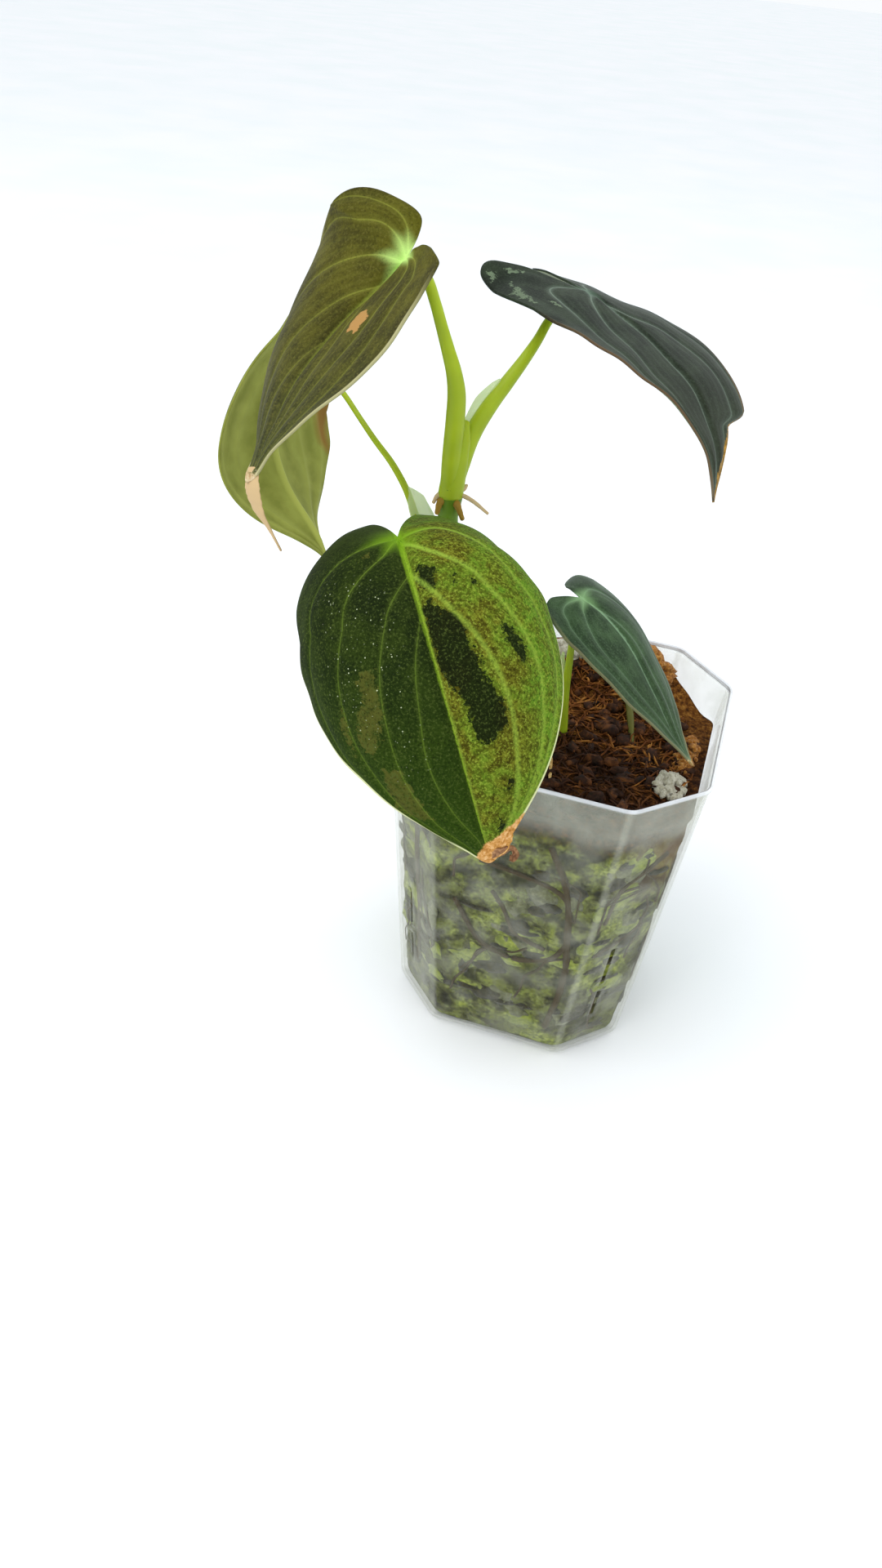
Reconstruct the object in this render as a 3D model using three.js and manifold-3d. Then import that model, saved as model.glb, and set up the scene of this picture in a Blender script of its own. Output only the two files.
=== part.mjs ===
// A potted variegated philodendron: five waved leaves on one leaning stem and one young shoot,
// rooted in fibrous substrate inside a clear square nursery pot with cut corners.
// Millimetres, +Z up. The origin is the middle of the pot's underside and the pot's front faces -Y.

import * as THREE from 'three';
import { mergeVertices } from 'three/addons/utils/BufferGeometryUtils.js';
import Module from 'manifold-3d';

const wasm = await Module();
wasm.setup();

// Pot: a square of this width with its corners cut off, narrower at the foot
const potWidth = 100;
const potHeight = 118;
const potFootWidth = 80.8;
const rimCornerCut = 19.4;
const footCornerCut = 17.9;
const cornerRound = 3;
const wall = 1;
const floorThickness = 2;
const rimBand = 1.6;
const rimLip = 0.5;
const footRound = 3;
const archRise = 1.1;
const archDepth = 7;
const slotWidth = 2.6;
const slotOffset = -2;
const slotHeights = [[18, 32], [34.5, 53.5]];
const drainRadius = 3;
const drainCircle = 24;
const drainCount = 8;

// Substrate: level at the front, heaped against the back wall
const gap = 0.35;
const soilLevel = 104;
const heapRise = 12;

// Foliage
const bladeThickness = 0.65;
const bladeColumns = 16;
const bladeRows = 19;
const quiltDepth = 0.28;
const stalkSides = 8;

// Repeatable random numbers between 0 and 1
function randomSource(seed) {
  let state = seed;
  return () => {
    state = (state * 1664525 + 1013904223) % 4294967296;
    return state / 4294967296;
  };
}

// Solids and geometries

function solidOf(geometry) {
  const bare = geometry.clone();
  bare.deleteAttribute('normal');
  bare.deleteAttribute('uv');
  const merged = mergeVertices(bare, 1e-4);
  return new wasm.Manifold(new wasm.Mesh({
    numProp: 3,
    vertProperties: new Float32Array(merged.attributes.position.array),
    triVerts: new Uint32Array(merged.index.array),
  }));
}

function geometryOf(solid) {
  const mesh = solid.getMesh();
  const geometry = new THREE.BufferGeometry();
  geometry.setAttribute('position', new THREE.BufferAttribute(mesh.vertProperties, 3));
  geometry.setIndex(new THREE.BufferAttribute(mesh.triVerts, 1));
  return geometry;
}

// The largest of the separate bodies in a solid
function mainBody(solid) {
  const bodies = solid.decompose();
  bodies.sort((first, second) => second.volume() - first.volume());
  return bodies[0];
}

// A closed solid through a list of loops, each a list of Vector3 with the same count,
// turning counter-clockwise as seen from the far end. Both ends are closed with a fan.
function loft(loops) {
  const count = loops[0].length;
  const points = loops.flat();
  const faces = [];
  for (let row = 0; row + 1 < loops.length; row += 1) {
    for (let k = 0; k < count; k += 1) {
      const near = row * count + k;
      const next = row * count + ((k + 1) % count);
      faces.push(near, next, next + count);
      faces.push(near, next + count, near + count);
    }
  }
  const ends = [[0, false], [loops.length - 1, true]];
  for (const [row, far] of ends) {
    const middle = new THREE.Vector3();
    loops[row].forEach((point) => middle.add(point));
    middle.divideScalar(count);
    const centre = points.push(middle) - 1;
    for (let k = 0; k < count; k += 1) {
      const near = row * count + k;
      const next = row * count + ((k + 1) % count);
      if (far) faces.push(centre, near, next);
      else faces.push(centre, next, near);
    }
  }
  const geometry = new THREE.BufferGeometry().setFromPoints(points);
  geometry.setIndex(faces);
  return solidOf(geometry);
}

// Clear pot

// The square with cut corners at one height, half its width being reach
function potLoop(reach, cornerCut, z, round = cornerRound) {
  const short = reach - cornerCut;
  const corners = [
    [-short, -reach], [short, -reach], [reach, -short], [reach, short],
    [short, reach], [-short, reach], [-reach, short], [-reach, -short],
  ].map(([x, y]) => new THREE.Vector3(x, y, z));
  const loop = [];
  corners.forEach((corner, index) => {
    const before = corners[(index + 7) % 8];
    const after = corners[(index + 1) % 8];
    const start = corner.clone().add(before.clone().sub(corner).setLength(round));
    const end = corner.clone().add(after.clone().sub(corner).setLength(round));
    const bend = new THREE.QuadraticBezierCurve3(start, corner, end);
    loop.push(...bend.getPoints(2));
  });
  return loop;
}

function wallReach(z) {
  return THREE.MathUtils.lerp(potFootWidth / 2, potWidth / 2 - rimLip, z / potHeight);
}

function wallCornerCut(z) {
  return THREE.MathUtils.lerp(footCornerCut, rimCornerCut, z / potHeight);
}

// The pot's outline moved inwards by inset
function wallLoop(z, inset) {
  const cornerInset = inset * (2 - Math.SQRT2);
  return potLoop(wallReach(z) - inset, wallCornerCut(z) - cornerInset, z);
}

function potArches() {
  const half = wallReach(0) - wallCornerCut(0);
  const radius = (half * half + archRise * archRise) / (2 * archRise);
  const sweep = Math.asin(half / radius);
  const outline = new THREE.Shape();
  outline.moveTo(-half, -1);
  for (let step = 0; step <= 10; step += 1) {
    const angle = THREE.MathUtils.lerp(-sweep, sweep, step / 10);
    outline.lineTo(radius * Math.sin(angle), archRise - radius * (1 - Math.cos(angle)));
  }
  outline.lineTo(half, -1);
  const geometry = new THREE.ExtrudeGeometry(outline, { depth: archDepth, bevelEnabled: false });
  geometry.rotateX(Math.PI / 2);
  geometry.translate(0, -wallReach(0) + archDepth - 1, 0);
  return [0, 1, 2, 3].map((turn) => solidOf(geometry.clone().rotateZ((turn * Math.PI) / 2)));
}

function potSlots() {
  const slots = [];
  for (const [low, high] of slotHeights) {
    const middle = (low + high) / 2;
    const geometry = new THREE.BoxGeometry(slotWidth, 12, high - low);
    const across = (2 * wallReach(middle) - wallCornerCut(middle)) / Math.SQRT2;
    geometry.translate(slotOffset, -across, middle);
    for (let corner = 0; corner < 4; corner += 1) {
      slots.push(solidOf(geometry.clone().rotateZ(Math.PI / 4 + (corner * Math.PI) / 2)));
    }
  }
  return slots;
}

function drainHoles() {
  const holes = [];
  for (let k = 0; k < drainCount; k += 1) {
    const angle = (k * 2 * Math.PI) / drainCount;
    const geometry = new THREE.CylinderGeometry(drainRadius, drainRadius, 10, 12);
    geometry.rotateX(Math.PI / 2);
    geometry.translate(drainCircle * Math.cos(angle), drainCircle * Math.sin(angle), 0);
    holes.push(solidOf(geometry));
  }
  return holes;
}

function potSolid() {
  const bandStart = potHeight - rimBand;
  const outside = loft([
    wallLoop(0, footRound),
    wallLoop(footRound * 0.3, footRound * 0.3),
    wallLoop(footRound, 0),
    wallLoop(bandStart - 0.6, 0),
    wallLoop(bandStart, -rimLip),
    wallLoop(potHeight, -rimLip),
  ]);
  const inside = loft([
    wallLoop(floorThickness, footRound + wall),
    wallLoop(floorThickness + footRound, wall),
    wallLoop(potHeight + 1, wall),
  ]);
  return [inside, ...potArches(), ...potSlots(), ...drainHoles()].reduce(
    (pot, cut) => pot.subtract(cut),
    outside,
  );
}

// Substrate with roots and moss pressed against the wall

// Smooth uneven ground from a few crossed waves, between -1 and 1
function unevenness(x, y, size) {
  const first = Math.sin((x * 1.0 + y * 0.45) / size + 0.6) * Math.cos((y * 1.1 - x * 0.3) / size);
  const second = Math.sin((x * 0.7 - y * 1.3) / (size * 0.52) + 2.1);
  return 0.6 * first + 0.4 * second;
}

function soilHeight(x, y) {
  const heap = Math.exp(-(((x - 4) / 30) ** 2) - ((Math.max(0, 50 - y)) / 15) ** 2);
  return soilLevel + heapRise * heap + 1.3 * unevenness(x, y, 7);
}

// The room inside the pot up to a height, moved inwards by inset
function potRoom(inset, top) {
  return loft([
    wallLoop(floorThickness + gap, footRound + wall + inset),
    wallLoop(floorThickness + gap + footRound, wall + inset),
    wallLoop(top, wall + inset),
  ]);
}

function plugSolid() {
  const heights = [8, 24, 40, 56, 72, 90];
  const loops = [
    wallLoop(floorThickness + gap, footRound + wall + gap + 1),
    ...heights.map((z) => wallLoop(z, wall + gap + 1)),
  ];
  loops.forEach((loop, row) => loop.forEach((point, k) => {
    const dent = 0.7 * unevenness(point.z + 3 * k, 11 * row, 5);
    const length = Math.hypot(point.x, point.y);
    point.x *= 1 + dent / length;
    point.y *= 1 + dent / length;
  }));
  const edge = wallLoop(soilLevel, wall + gap + 0.3);
  for (const share of [1, 0.9, 0.74, 0.58, 0.4, 0.2]) {
    loops.push(edge.map((point) => {
      const x = point.x * share;
      const y = point.y * share;
      return new THREE.Vector3(x, y, soilHeight(x, y));
    }));
  }
  return loft(loops);
}

function blob(x, y, z, across, deep, high, turn) {
  const geometry = new THREE.OctahedronGeometry(1, 1);
  geometry.scale(across, deep, high);
  geometry.rotateZ(turn);
  geometry.translate(x, y, z);
  return solidOf(geometry);
}

// Crumbs of bark and fibre that stand out of the top
function crumbs() {
  const random = randomSource(11);
  const pieces = [];
  for (let k = 0; k < 26; k += 1) {
    const angle = random() * 2 * Math.PI;
    const away = 43 * Math.sqrt(random());
    const x = away * Math.cos(angle);
    const y = away * Math.sin(angle);
    const size = 1.6 + 2.6 * random();
    const clearOfStems = Math.hypot(x + 9, y + 8) > 9 && Math.hypot(x, y) > 8;
    if (clearOfStems && Math.hypot(x - 2, y + 23) > 13) {
      pieces.push(blob(x, y, soilHeight(x, y), size, size * 0.6, size * 0.55, angle * 3));
    }
  }
  return pieces;
}

// Where a point at a height lies on the inside of the wall: side is the turn in quarter circles
// from the front, and along runs from the left to the right as seen from outside
function onWall(side, along, z, inset) {
  const quarter = Math.floor(side);
  const cutCorner = side % 1 > 0.25;
  const away = cutCorner
    ? (2 * wallReach(z) - wallCornerCut(z)) / Math.SQRT2
    : wallReach(z);
  const point = new THREE.Vector3(along, -(away - wall - inset), z);
  const turn = (quarter * Math.PI) / 2 + (cutCorner ? Math.PI / 4 : 0);
  return point.applyAxisAngle(new THREE.Vector3(0, 0, 1), turn);
}

// Pads of moss squeezed against the wall
function wallPads() {
  const random = randomSource(29);
  const pads = [];
  for (let side = 0; side < 4; side += 0.5) {
    const cutCorner = side % 1 > 0.25;
    const reach = cutCorner ? 9 : 19;
    const count = cutCorner ? 2 : 4;
    for (let k = 0; k < count; k += 1) {
      const z = 16 + ((k + random()) / count) * 76;
      const along = (2 * random() - 1) * reach;
      const middle = onWall(side, along, z, gap + 0.9);
      const wide = 3.5 + 4.5 * random();
      const high = 2.5 + 3 * random();
      pads.push(blob(middle.x, middle.y, middle.z, wide, 1.7, high, (side * Math.PI) / 2));
    }
  }
  return pads;
}

// Roots that run down and along the inside of the wall: side, then along and height of each point
const wallRoots = [
  { side: 0, radius: 1.3, path: [[9, 94], [14.5, 82], [17.5, 70], [18.8, 56], [20, 44], [19.5, 30], [17, 12]] },
  { side: 0, radius: 0.8, path: [[-12, 82], [2, 80], [14.7, 76], [19, 66]] },
  { side: 0, radius: 0.9, path: [[-19, 62], [-8, 45], [4, 42], [15, 47], [19, 55]] },
  { side: 0, radius: 0.7, path: [[-7, 70], [-3, 64], [2, 54], [12, 50]] },
  { side: 0.5, radius: 0.8, path: [[8, 92], [1, 86], [-6, 80], [-8, 66]] },
  { side: 0.5, radius: 0.7, path: [[8, 60], [0, 54], [-8, 50]] },
  { side: 1, radius: 1, path: [[-18, 88], [-6, 74], [4, 66], [12, 50], [14, 28]] },
  { side: 2, radius: 1.1, path: [[14, 90], [8, 72], [-2, 56], [-9, 40], [-12, 18]] },
  { side: 3, radius: 1, path: [[12, 84], [2, 70], [-8, 62], [-14, 44], [-10, 20]] },
  { side: 3.5, radius: 0.9, path: [[1, 90], [0, 66], [1, 44], [-1, 18]] },
];

function rootSolids() {
  return wallRoots.map(({ side, radius, path }) => {
    const stations = path.map(([along, z]) => [...onWall(side, along, z, gap + 1), radius]);
    return stalk(stations, { sides: 5, steps: path.length + 2 });
  });
}

function substrateSolid(stemHoles) {
  const pressed = [...wallPads(), ...rootSolids()].reduce((sum, piece) => sum.add(piece), plugSolid());
  const filled = [potRoom(gap, soilLevel - 2)].reduce((sum, room) => sum.intersect(room), pressed);
  const above = plugSolid().intersect(potRoom(gap, potHeight + 10));
  const heaped = crumbs().reduce((sum, piece) => sum.add(piece), filled.add(above));
  const inside = heaped.intersect(potRoom(gap, potHeight + 10));
  return mainBody(stemHoles.reduce((sum, hole) => sum.subtract(hole), inside));
}

// Stalks

// A round or flattened stalk through stations of x, y, z, half width and half depth.
// wide is the direction in which the half width is measured, turned by twist along the stalk.
function stalk(stations, { sides = stalkSides, steps = 24, wide = [1, 0, 0], twist = 0 } = {}) {
  const curve = new THREE.CatmullRomCurve3(
    stations.map(([x, y, z]) => new THREE.Vector3(x, y, z)),
    false,
    'centripetal',
  );
  const reference = new THREE.Vector3(...wide);
  const loops = [];
  for (let step = 0; step <= steps; step += 1) {
    const along = step / steps;
    const middle = curve.getPoint(along);
    const tangent = curve.getTangent(along);
    const place = along * (stations.length - 1);
    const lower = Math.min(Math.floor(place), stations.length - 2);
    const share = place - lower;
    const sizes = [stations[lower], stations[lower + 1]].map((s) => [s[3], s[4] ?? s[3]]);
    const halfWidth = THREE.MathUtils.lerp(sizes[0][0], sizes[1][0], share);
    const halfDepth = THREE.MathUtils.lerp(sizes[0][1], sizes[1][1], share);
    const acrossWidth = reference.clone().applyAxisAngle(tangent, twist * along);
    acrossWidth.addScaledVector(tangent, -acrossWidth.dot(tangent)).normalize();
    const acrossDepth = tangent.clone().cross(acrossWidth);
    const loop = [];
    for (let k = 0; k < sides; k += 1) {
      const angle = (2 * Math.PI * k) / sides;
      loop.push(middle.clone()
        .addScaledVector(acrossWidth, halfWidth * Math.cos(angle))
        .addScaledVector(acrossDepth, halfDepth * Math.sin(angle)));
    }
    loops.push(loop);
  }
  return loft(loops);
}

// The main stem leans from the soil to its top node
const stemPath = [
  [-8, -7.5, 80, 2.6], [-8.2, -7.6, 92, 2.6], [-9, -8, 103, 2.65], [-15.2, -10.2, 121.7, 2.65],
  [-26.2, -16.8, 142.8, 2.65], [-33.6, -23.9, 162.8, 2.65], [-37.6, -24.1, 175.8, 3.1],
  [-38.3, -22.9, 180.8, 2.8], [-38.2, -22.4, 186.1, 3.3], [-38.3, -22.5, 189.2, 3],
];

const stemBranches = [
  // petiole of leaf 1
  { path: [
    [-38.7, -23.1, 183.5, 2.4], [-38.8, -22.9, 197.2, 2.3], [-38.6, -23.5, 208.5, 2.35],
    [-38.8, -23.9, 214.7, 2.3], [-39.7, -25, 220.2, 1.9], [-41.2, -26.4, 225.5, 1.65],
    [-42.9, -28.4, 231.7, 1.5], [-45, -28.6, 237.1, 1.45], [-47.7, -28.5, 242.3, 1.45],
    [-51.6, -30.4, 246.1, 0.8],
  ] },
  // tooth where the sheath of leaf 1 ends
  { path: [
    [-38.2, -22.4, 205.5, 1.2, 0.5], [-37.3, -22.5, 212.9, 1.4, 0.5], [-37, -22.8, 218.2, 1.1, 0.4],
    [-36.4, -22.8, 221.9, 0.35, 0.3],
  ], wide: [0.9, 0.4, 0] },
  // petiole of leaf 2
  { path: [
    [-37.7, -21.8, 184, 2.2], [-37, -19.9, 195.2, 2], [-35.9, -18, 200.7, 1.9],
    [-34.1, -15.6, 205.7, 1.75], [-32.1, -13.1, 210.8, 1.55], [-28, -9.5, 214.9, 1.45],
    [-26, -6.2, 220.1, 1.3], [-24.2, -1, 224.7, 1.2], [-23, 3.8, 228.8, 1.15],
    [-20.5, 9.1, 232.4, 1.15], [-16.5, 12.6, 234.1, 0.8],
  ] },
  // sheath of leaf 2, a pale wing on its left that clasps the petiole of leaf 1
  { path: [
    [-38.6, -20.4, 189.8, 1.6, 0.9], [-37.8, -18.9, 197.1, 2.4, 0.9], [-36.1, -16.6, 204, 2.5, 0.8],
    [-34, -14.4, 209.6, 2.3, 0.7], [-31.3, -11.1, 214.6, 1.7, 0.55], [-29.6, -8.2, 219.1, 1.1, 0.4],
    [-28.2, -6.2, 222.2, 0.35, 0.3],
  ], wide: [0.8, -0.2, -0.5] },
  // petiole of leaf 3 with its flat winged sheath
  { path: [
    [-37.4, -24.9, 176.4, 2.2, 1.6], [-42.4, -23.3, 180, 2.3, 1.2], [-46.6, -21.7, 182.5, 2.2, 1.1],
    [-51, -19, 184.8, 1.9, 1], [-57.8, -14.9, 188.9, 1.3, 0.9], [-64.9, -10.7, 193.2, 0.9, 0.85],
    [-71.2, -6.6, 197.2, 0.8], [-78.1, -1.4, 201.1, 0.8], [-84.8, 2.1, 204.5, 0.8],
    [-92.7, 3.5, 207.2, 0.6],
  ], wide: [0.3, 0.2, 1] },
  // petiole of leaf 4, behind its blade
  { path: [
    [-34.4, -23.8, 165.5, 1.9], [-34.6, -34, 170.5, 1.55], [-35.6, -46, 176, 1.4],
    [-38, -54.5, 181.5, 1.3], [-39.6, -58.9, 186.2, 1.1], [-40.2, -60.2, 188.6, 0.8],
  ] },
  // aerial roots round the top node, and a bud
  { path: [[-38.9, -23.4, 186.6, 0.6], [-41.2, -24, 186.6, 0.5], [-42.1, -25.4, 184.8, 0.3]], sides: 5 },
  { path: [[-38.5, -23.4, 186.2, 0.6], [-40.3, -25.4, 185.6, 0.55], [-40.4, -27.2, 182.2, 0.4]], sides: 5 },
  { path: [[-37.5, -22.8, 186.2, 0.7], [-35.9, -24.6, 185.6, 0.65], [-33.1, -26, 181.7, 0.5]], sides: 5 },
  { path: [
    [-37.1, -22.1, 187.2, 0.5], [-34.7, -22.1, 187, 0.45], [-31.7, -22.2, 186, 0.42],
    [-27.2, -22.8, 183.7, 0.35],
  ], sides: 5 },
  { path: [[-36.7, -21.6, 187.6, 1.1], [-35.1, -20.8, 188.8, 0.9], [-34.4, -20.4, 189.5, 0.4]], sides: 8 },
];

function stemSolid() {
  return stemBranches.reduce((sum, { path, wide, sides }) => {
    const steps = 2 * (path.length - 1);
    return sum.add(stalk(path, { wide, sides: sides ?? stalkSides, steps }));
  }, stalk(stemPath, { sides: 12, steps: 18 }));
}

// The young shoot: petiole of leaf 5 with a pale sheath on its left
const shootPath = [
  [1, 0.2, 82, 1.6], [0.8, 0, 95, 1.6], [0.6, -0.1, 104, 1.6], [-0.8, -0.1, 119.5, 1.35],
  [-1.1, -1, 131.9, 1.15], [-1.4, -1.1, 141.9, 1], [-1.3, -1, 149, 0.9], [-1.15, -1, 152.7, 0.6],
];
const shootSheath = [
  [-0.4, 0.2, 106, 1.2, 0.8], [-2, 0.4, 118, 1.5, 0.6], [-3, 0.2, 127, 1.3, 0.5],
  [-3.6, 0, 134, 0.4, 0.3],
];

function shootSolid() {
  return stalk(shootPath, { steps: 18 }).add(stalk(shootSheath, { sides: 8, steps: 8 }));
}

// The plain hole that a stalk stands in, wider than the stalk by the gap all round
function stemHole(path) {
  const widened = path.slice(0, 4).map(([x, y, z, radius]) => [x, y, z, radius + gap]);
  widened[0][2] -= gap;
  return stalk(widened, { sides: 12, steps: 9 });
}

// Leaves

// A table of evenly spaced values read as one smooth curve, place running from 0 to 1
function smoothTable(values, place) {
  const last = values.length - 1;
  const at = Math.min(Math.max(place * last, 0), last - 1e-9);
  const index = Math.floor(at);
  const h = at - index;
  const b = values[index];
  const c = values[index + 1];
  const a = index > 0 ? values[index - 1] : 2 * b - c;
  const d = index + 2 <= last ? values[index + 2] : 2 * c - b;
  return b + 0.5 * h * (c - a + h * (2 * a - 5 * b + 4 * c - d + h * (3 * (b - c) + d - a)));
}

// Outline of a flat heart-shaped blade, from the notch round one lobe to the tip:
// distance from the midrib in half widths, and distance from the notch in blade lengths.
// midribPlace is where the vein that ends at that point of the margin leaves the midrib.
const marginAcross = [0, 0.14, 0.38, 0.68, 0.92, 1, 0.94, 0.72, 0.42, 0.16, 0];
const marginAlong = [0, -0.1, -0.19, -0.17, -0.02, 0.16, 0.36, 0.58, 0.77, 0.9, 1];
const midribPlace = [0, 0.02, 0.05, 0.1, 0.2, 0.32, 0.47, 0.63, 0.79, 0.9, 1];
const veinSweep = 1.7;

// One smooth value at a place from 0 to 1 along a short list, as on a Bezier curve
function blend(values, place) {
  let level = values;
  while (level.length > 1) {
    level = level.slice(1).map((value, k) => THREE.MathUtils.lerp(level[k], value, place));
  }
  return level[0];
}

// A point on the flat blade: across from -1 to 1 and along from 0 (notch) to 1 (tip)
function flatBlade(across, along, lobe, taper, width) {
  let y = smoothTable(marginAlong, along);
  if (y < 0) y *= lobe;
  const middle = Math.min(Math.max((y - 0.16) / 0.84, 0), 1);
  const narrowing = 1 - taper * 1.4 * middle * (1 - middle);
  const x = across * smoothTable(marginAcross, along) * narrowing * blend(width, along);
  const start = smoothTable(midribPlace, along);
  return { x, y: start + (y - start) * Math.abs(across) ** veinSweep };
}

// The midrib: a smooth curve over the control points, as frames evenly spaced along its length
function midribFrames({ midrib, face }) {
  const control = midrib.map((point) => new THREE.Vector3(...point));
  const at = (place) => {
    let level = control;
    while (level.length > 1) {
      level = level.slice(1).map((point, k) => level[k].clone().lerp(point, place));
    }
    return level[0];
  };
  const count = 240;
  const points = Array.from({ length: count + 1 }, (_, k) => at(k / count));
  const lengths = [0];
  points.slice(1).forEach((point, k) => lengths.push(lengths[k] + point.distanceTo(points[k])));
  const total = lengths[count];
  return (distance) => {
    const wanted = Math.min(Math.max(distance, 0), 1) * total;
    let k = 0;
    while (k < count - 1 && lengths[k + 1] < wanted) k += 1;
    const share = (wanted - lengths[k]) / (lengths[k + 1] - lengths[k]);
    const middle = points[k].clone().lerp(points[k + 1], share);
    const forward = at(Math.min((k + share + 0.5) / count, 1));
    const tangent = forward.sub(at(Math.max((k + share - 0.5) / count, 0))).normalize();
    const place = wanted / total;
    const up = new THREE.Vector3(...[0, 1, 2].map((axis) => (
      blend(face.map((vector) => vector[axis]), place))));
    up.addScaledVector(tangent, -up.dot(tangent)).normalize();
    return { middle, tangent, up, side: tangent.clone().cross(up), length: total };
  };
}

// A point on the bent blade. The halves fold up or down from the midrib and curl on outwards,
// and the lobes behind the notch bend away from it.
function bladePoint(leaf, frameAt, across, along) {
  const half = across > 0 ? 1 : 0;
  const flat = flatBlade(across, along, leaf.lobe[half], leaf.taper, leaf.width[half]);
  const { middle, tangent, up, side, length } = frameAt(flat.y);
  const y = flat.y * length;
  const point = middle.clone();
  const behind = -Math.min(y, 0);
  const bend = leaf.bend[half] / (0.2 * length) || 1e-5;
  point.addScaledVector(tangent, -Math.sin(bend * behind) / bend);
  point.addScaledVector(up, (1 - Math.cos(bend * behind)) / bend);
  const place = Math.min(Math.max((flat.y + 0.2) / 1.2, 0), 1);
  const fold = blend(leaf.fold[half], place);
  const curl = blend(leaf.curl[half], place) || 1e-4;
  const out = Math.abs(flat.x);
  const outwards = ((Math.sin(fold + curl * out) - Math.sin(fold)) / curl) * leaf.halfWidth;
  const upwards = ((Math.cos(fold) - Math.cos(fold + curl * out)) / curl) * leaf.halfWidth;
  point.addScaledVector(side, Math.sign(flat.x) * outwards);
  return point.addScaledVector(up, upwards);
}

// Both faces of the blade, split into triangles alike, and the thin edge between them
function bladeSolid(leaf) {
  const frameAt = midribFrames(leaf);
  const rows = bladeRows - 1;
  const middleOf = (column, row) => (
    bladePoint(leaf, frameAt, (2 * column) / bladeColumns - 1, row / rows));
  const grid = [];
  for (let row = 0; row <= rows; row += 1) {
    grid.push([]);
    for (let column = 0; column <= bladeColumns; column += 1) grid[row].push(middleOf(column, row));
  }
  const normalAt = (column, row) => {
    const next = grid[row][Math.min(column + 1, bladeColumns)];
    const before = grid[row][Math.max(column - 1, 0)];
    const ahead = grid[row + 1][column];
    const behind = grid[row - 1][column];
    return ahead.clone().sub(behind).cross(next.clone().sub(before)).normalize();
  };
  const poleNormal = (column, row) => {
    const { up } = frameAt(row);
    return up;
  };
  const points = [];
  const faceIndex = [];
  for (const facing of [1, -1]) {
    const index = [];
    for (let row = 0; row <= rows; row += 1) {
      const pole = row === 0 || row === rows;
      index.push([]);
      for (let column = 0; column <= bladeColumns; column += 1) {
        if (pole && column > 0) {
          index[row].push(index[row][0]);
        } else {
          const normal = pole ? poleNormal(column, row / rows) : normalAt(column, row);
          const fade = Math.sin((Math.PI * row) / rows);
          const quilt = column % 2 === 0 || pole ? -1 : 1;
          const lift = facing * (bladeThickness / 2) + 0.5 * quiltDepth * quilt * fade;
          index[row].push(points.push(grid[row][column].clone().addScaledVector(normal, lift)) - 1);
        }
      }
    }
    faceIndex.push(index);
  }
  const faces = [];
  const addFace = (a, b, c, turned) => {
    if (a === b || b === c || c === a) return;
    if (turned) faces.push(a, c, b);
    else faces.push(a, b, c);
  };
  faceIndex.forEach((index, bottom) => {
    for (let row = 0; row < rows; row += 1) {
      for (let column = 0; column < bladeColumns; column += 1) {
        const a = index[row][column];
        const b = index[row][column + 1];
        const c = index[row + 1][column + 1];
        const d = index[row + 1][column];
        const leftHalf = column < bladeColumns / 2;
        if (leftHalf) {
          addFace(a, c, b, bottom);
          addFace(a, d, c, bottom);
        } else {
          addFace(a, d, b, bottom);
          addFace(b, d, c, bottom);
        }
      }
    }
  });
  const [top, bottom] = faceIndex;
  for (let row = 0; row < rows; row += 1) {
    for (const column of [0, bladeColumns]) {
      const turned = column === 0;
      addFace(top[row][column], top[row + 1][column], bottom[row + 1][column], turned);
      addFace(top[row][column], bottom[row + 1][column], bottom[row][column], turned);
    }
  }
  const geometry = new THREE.BufferGeometry().setFromPoints(points);
  geometry.setIndex(faces);
  return solidOf(geometry);
}

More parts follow.
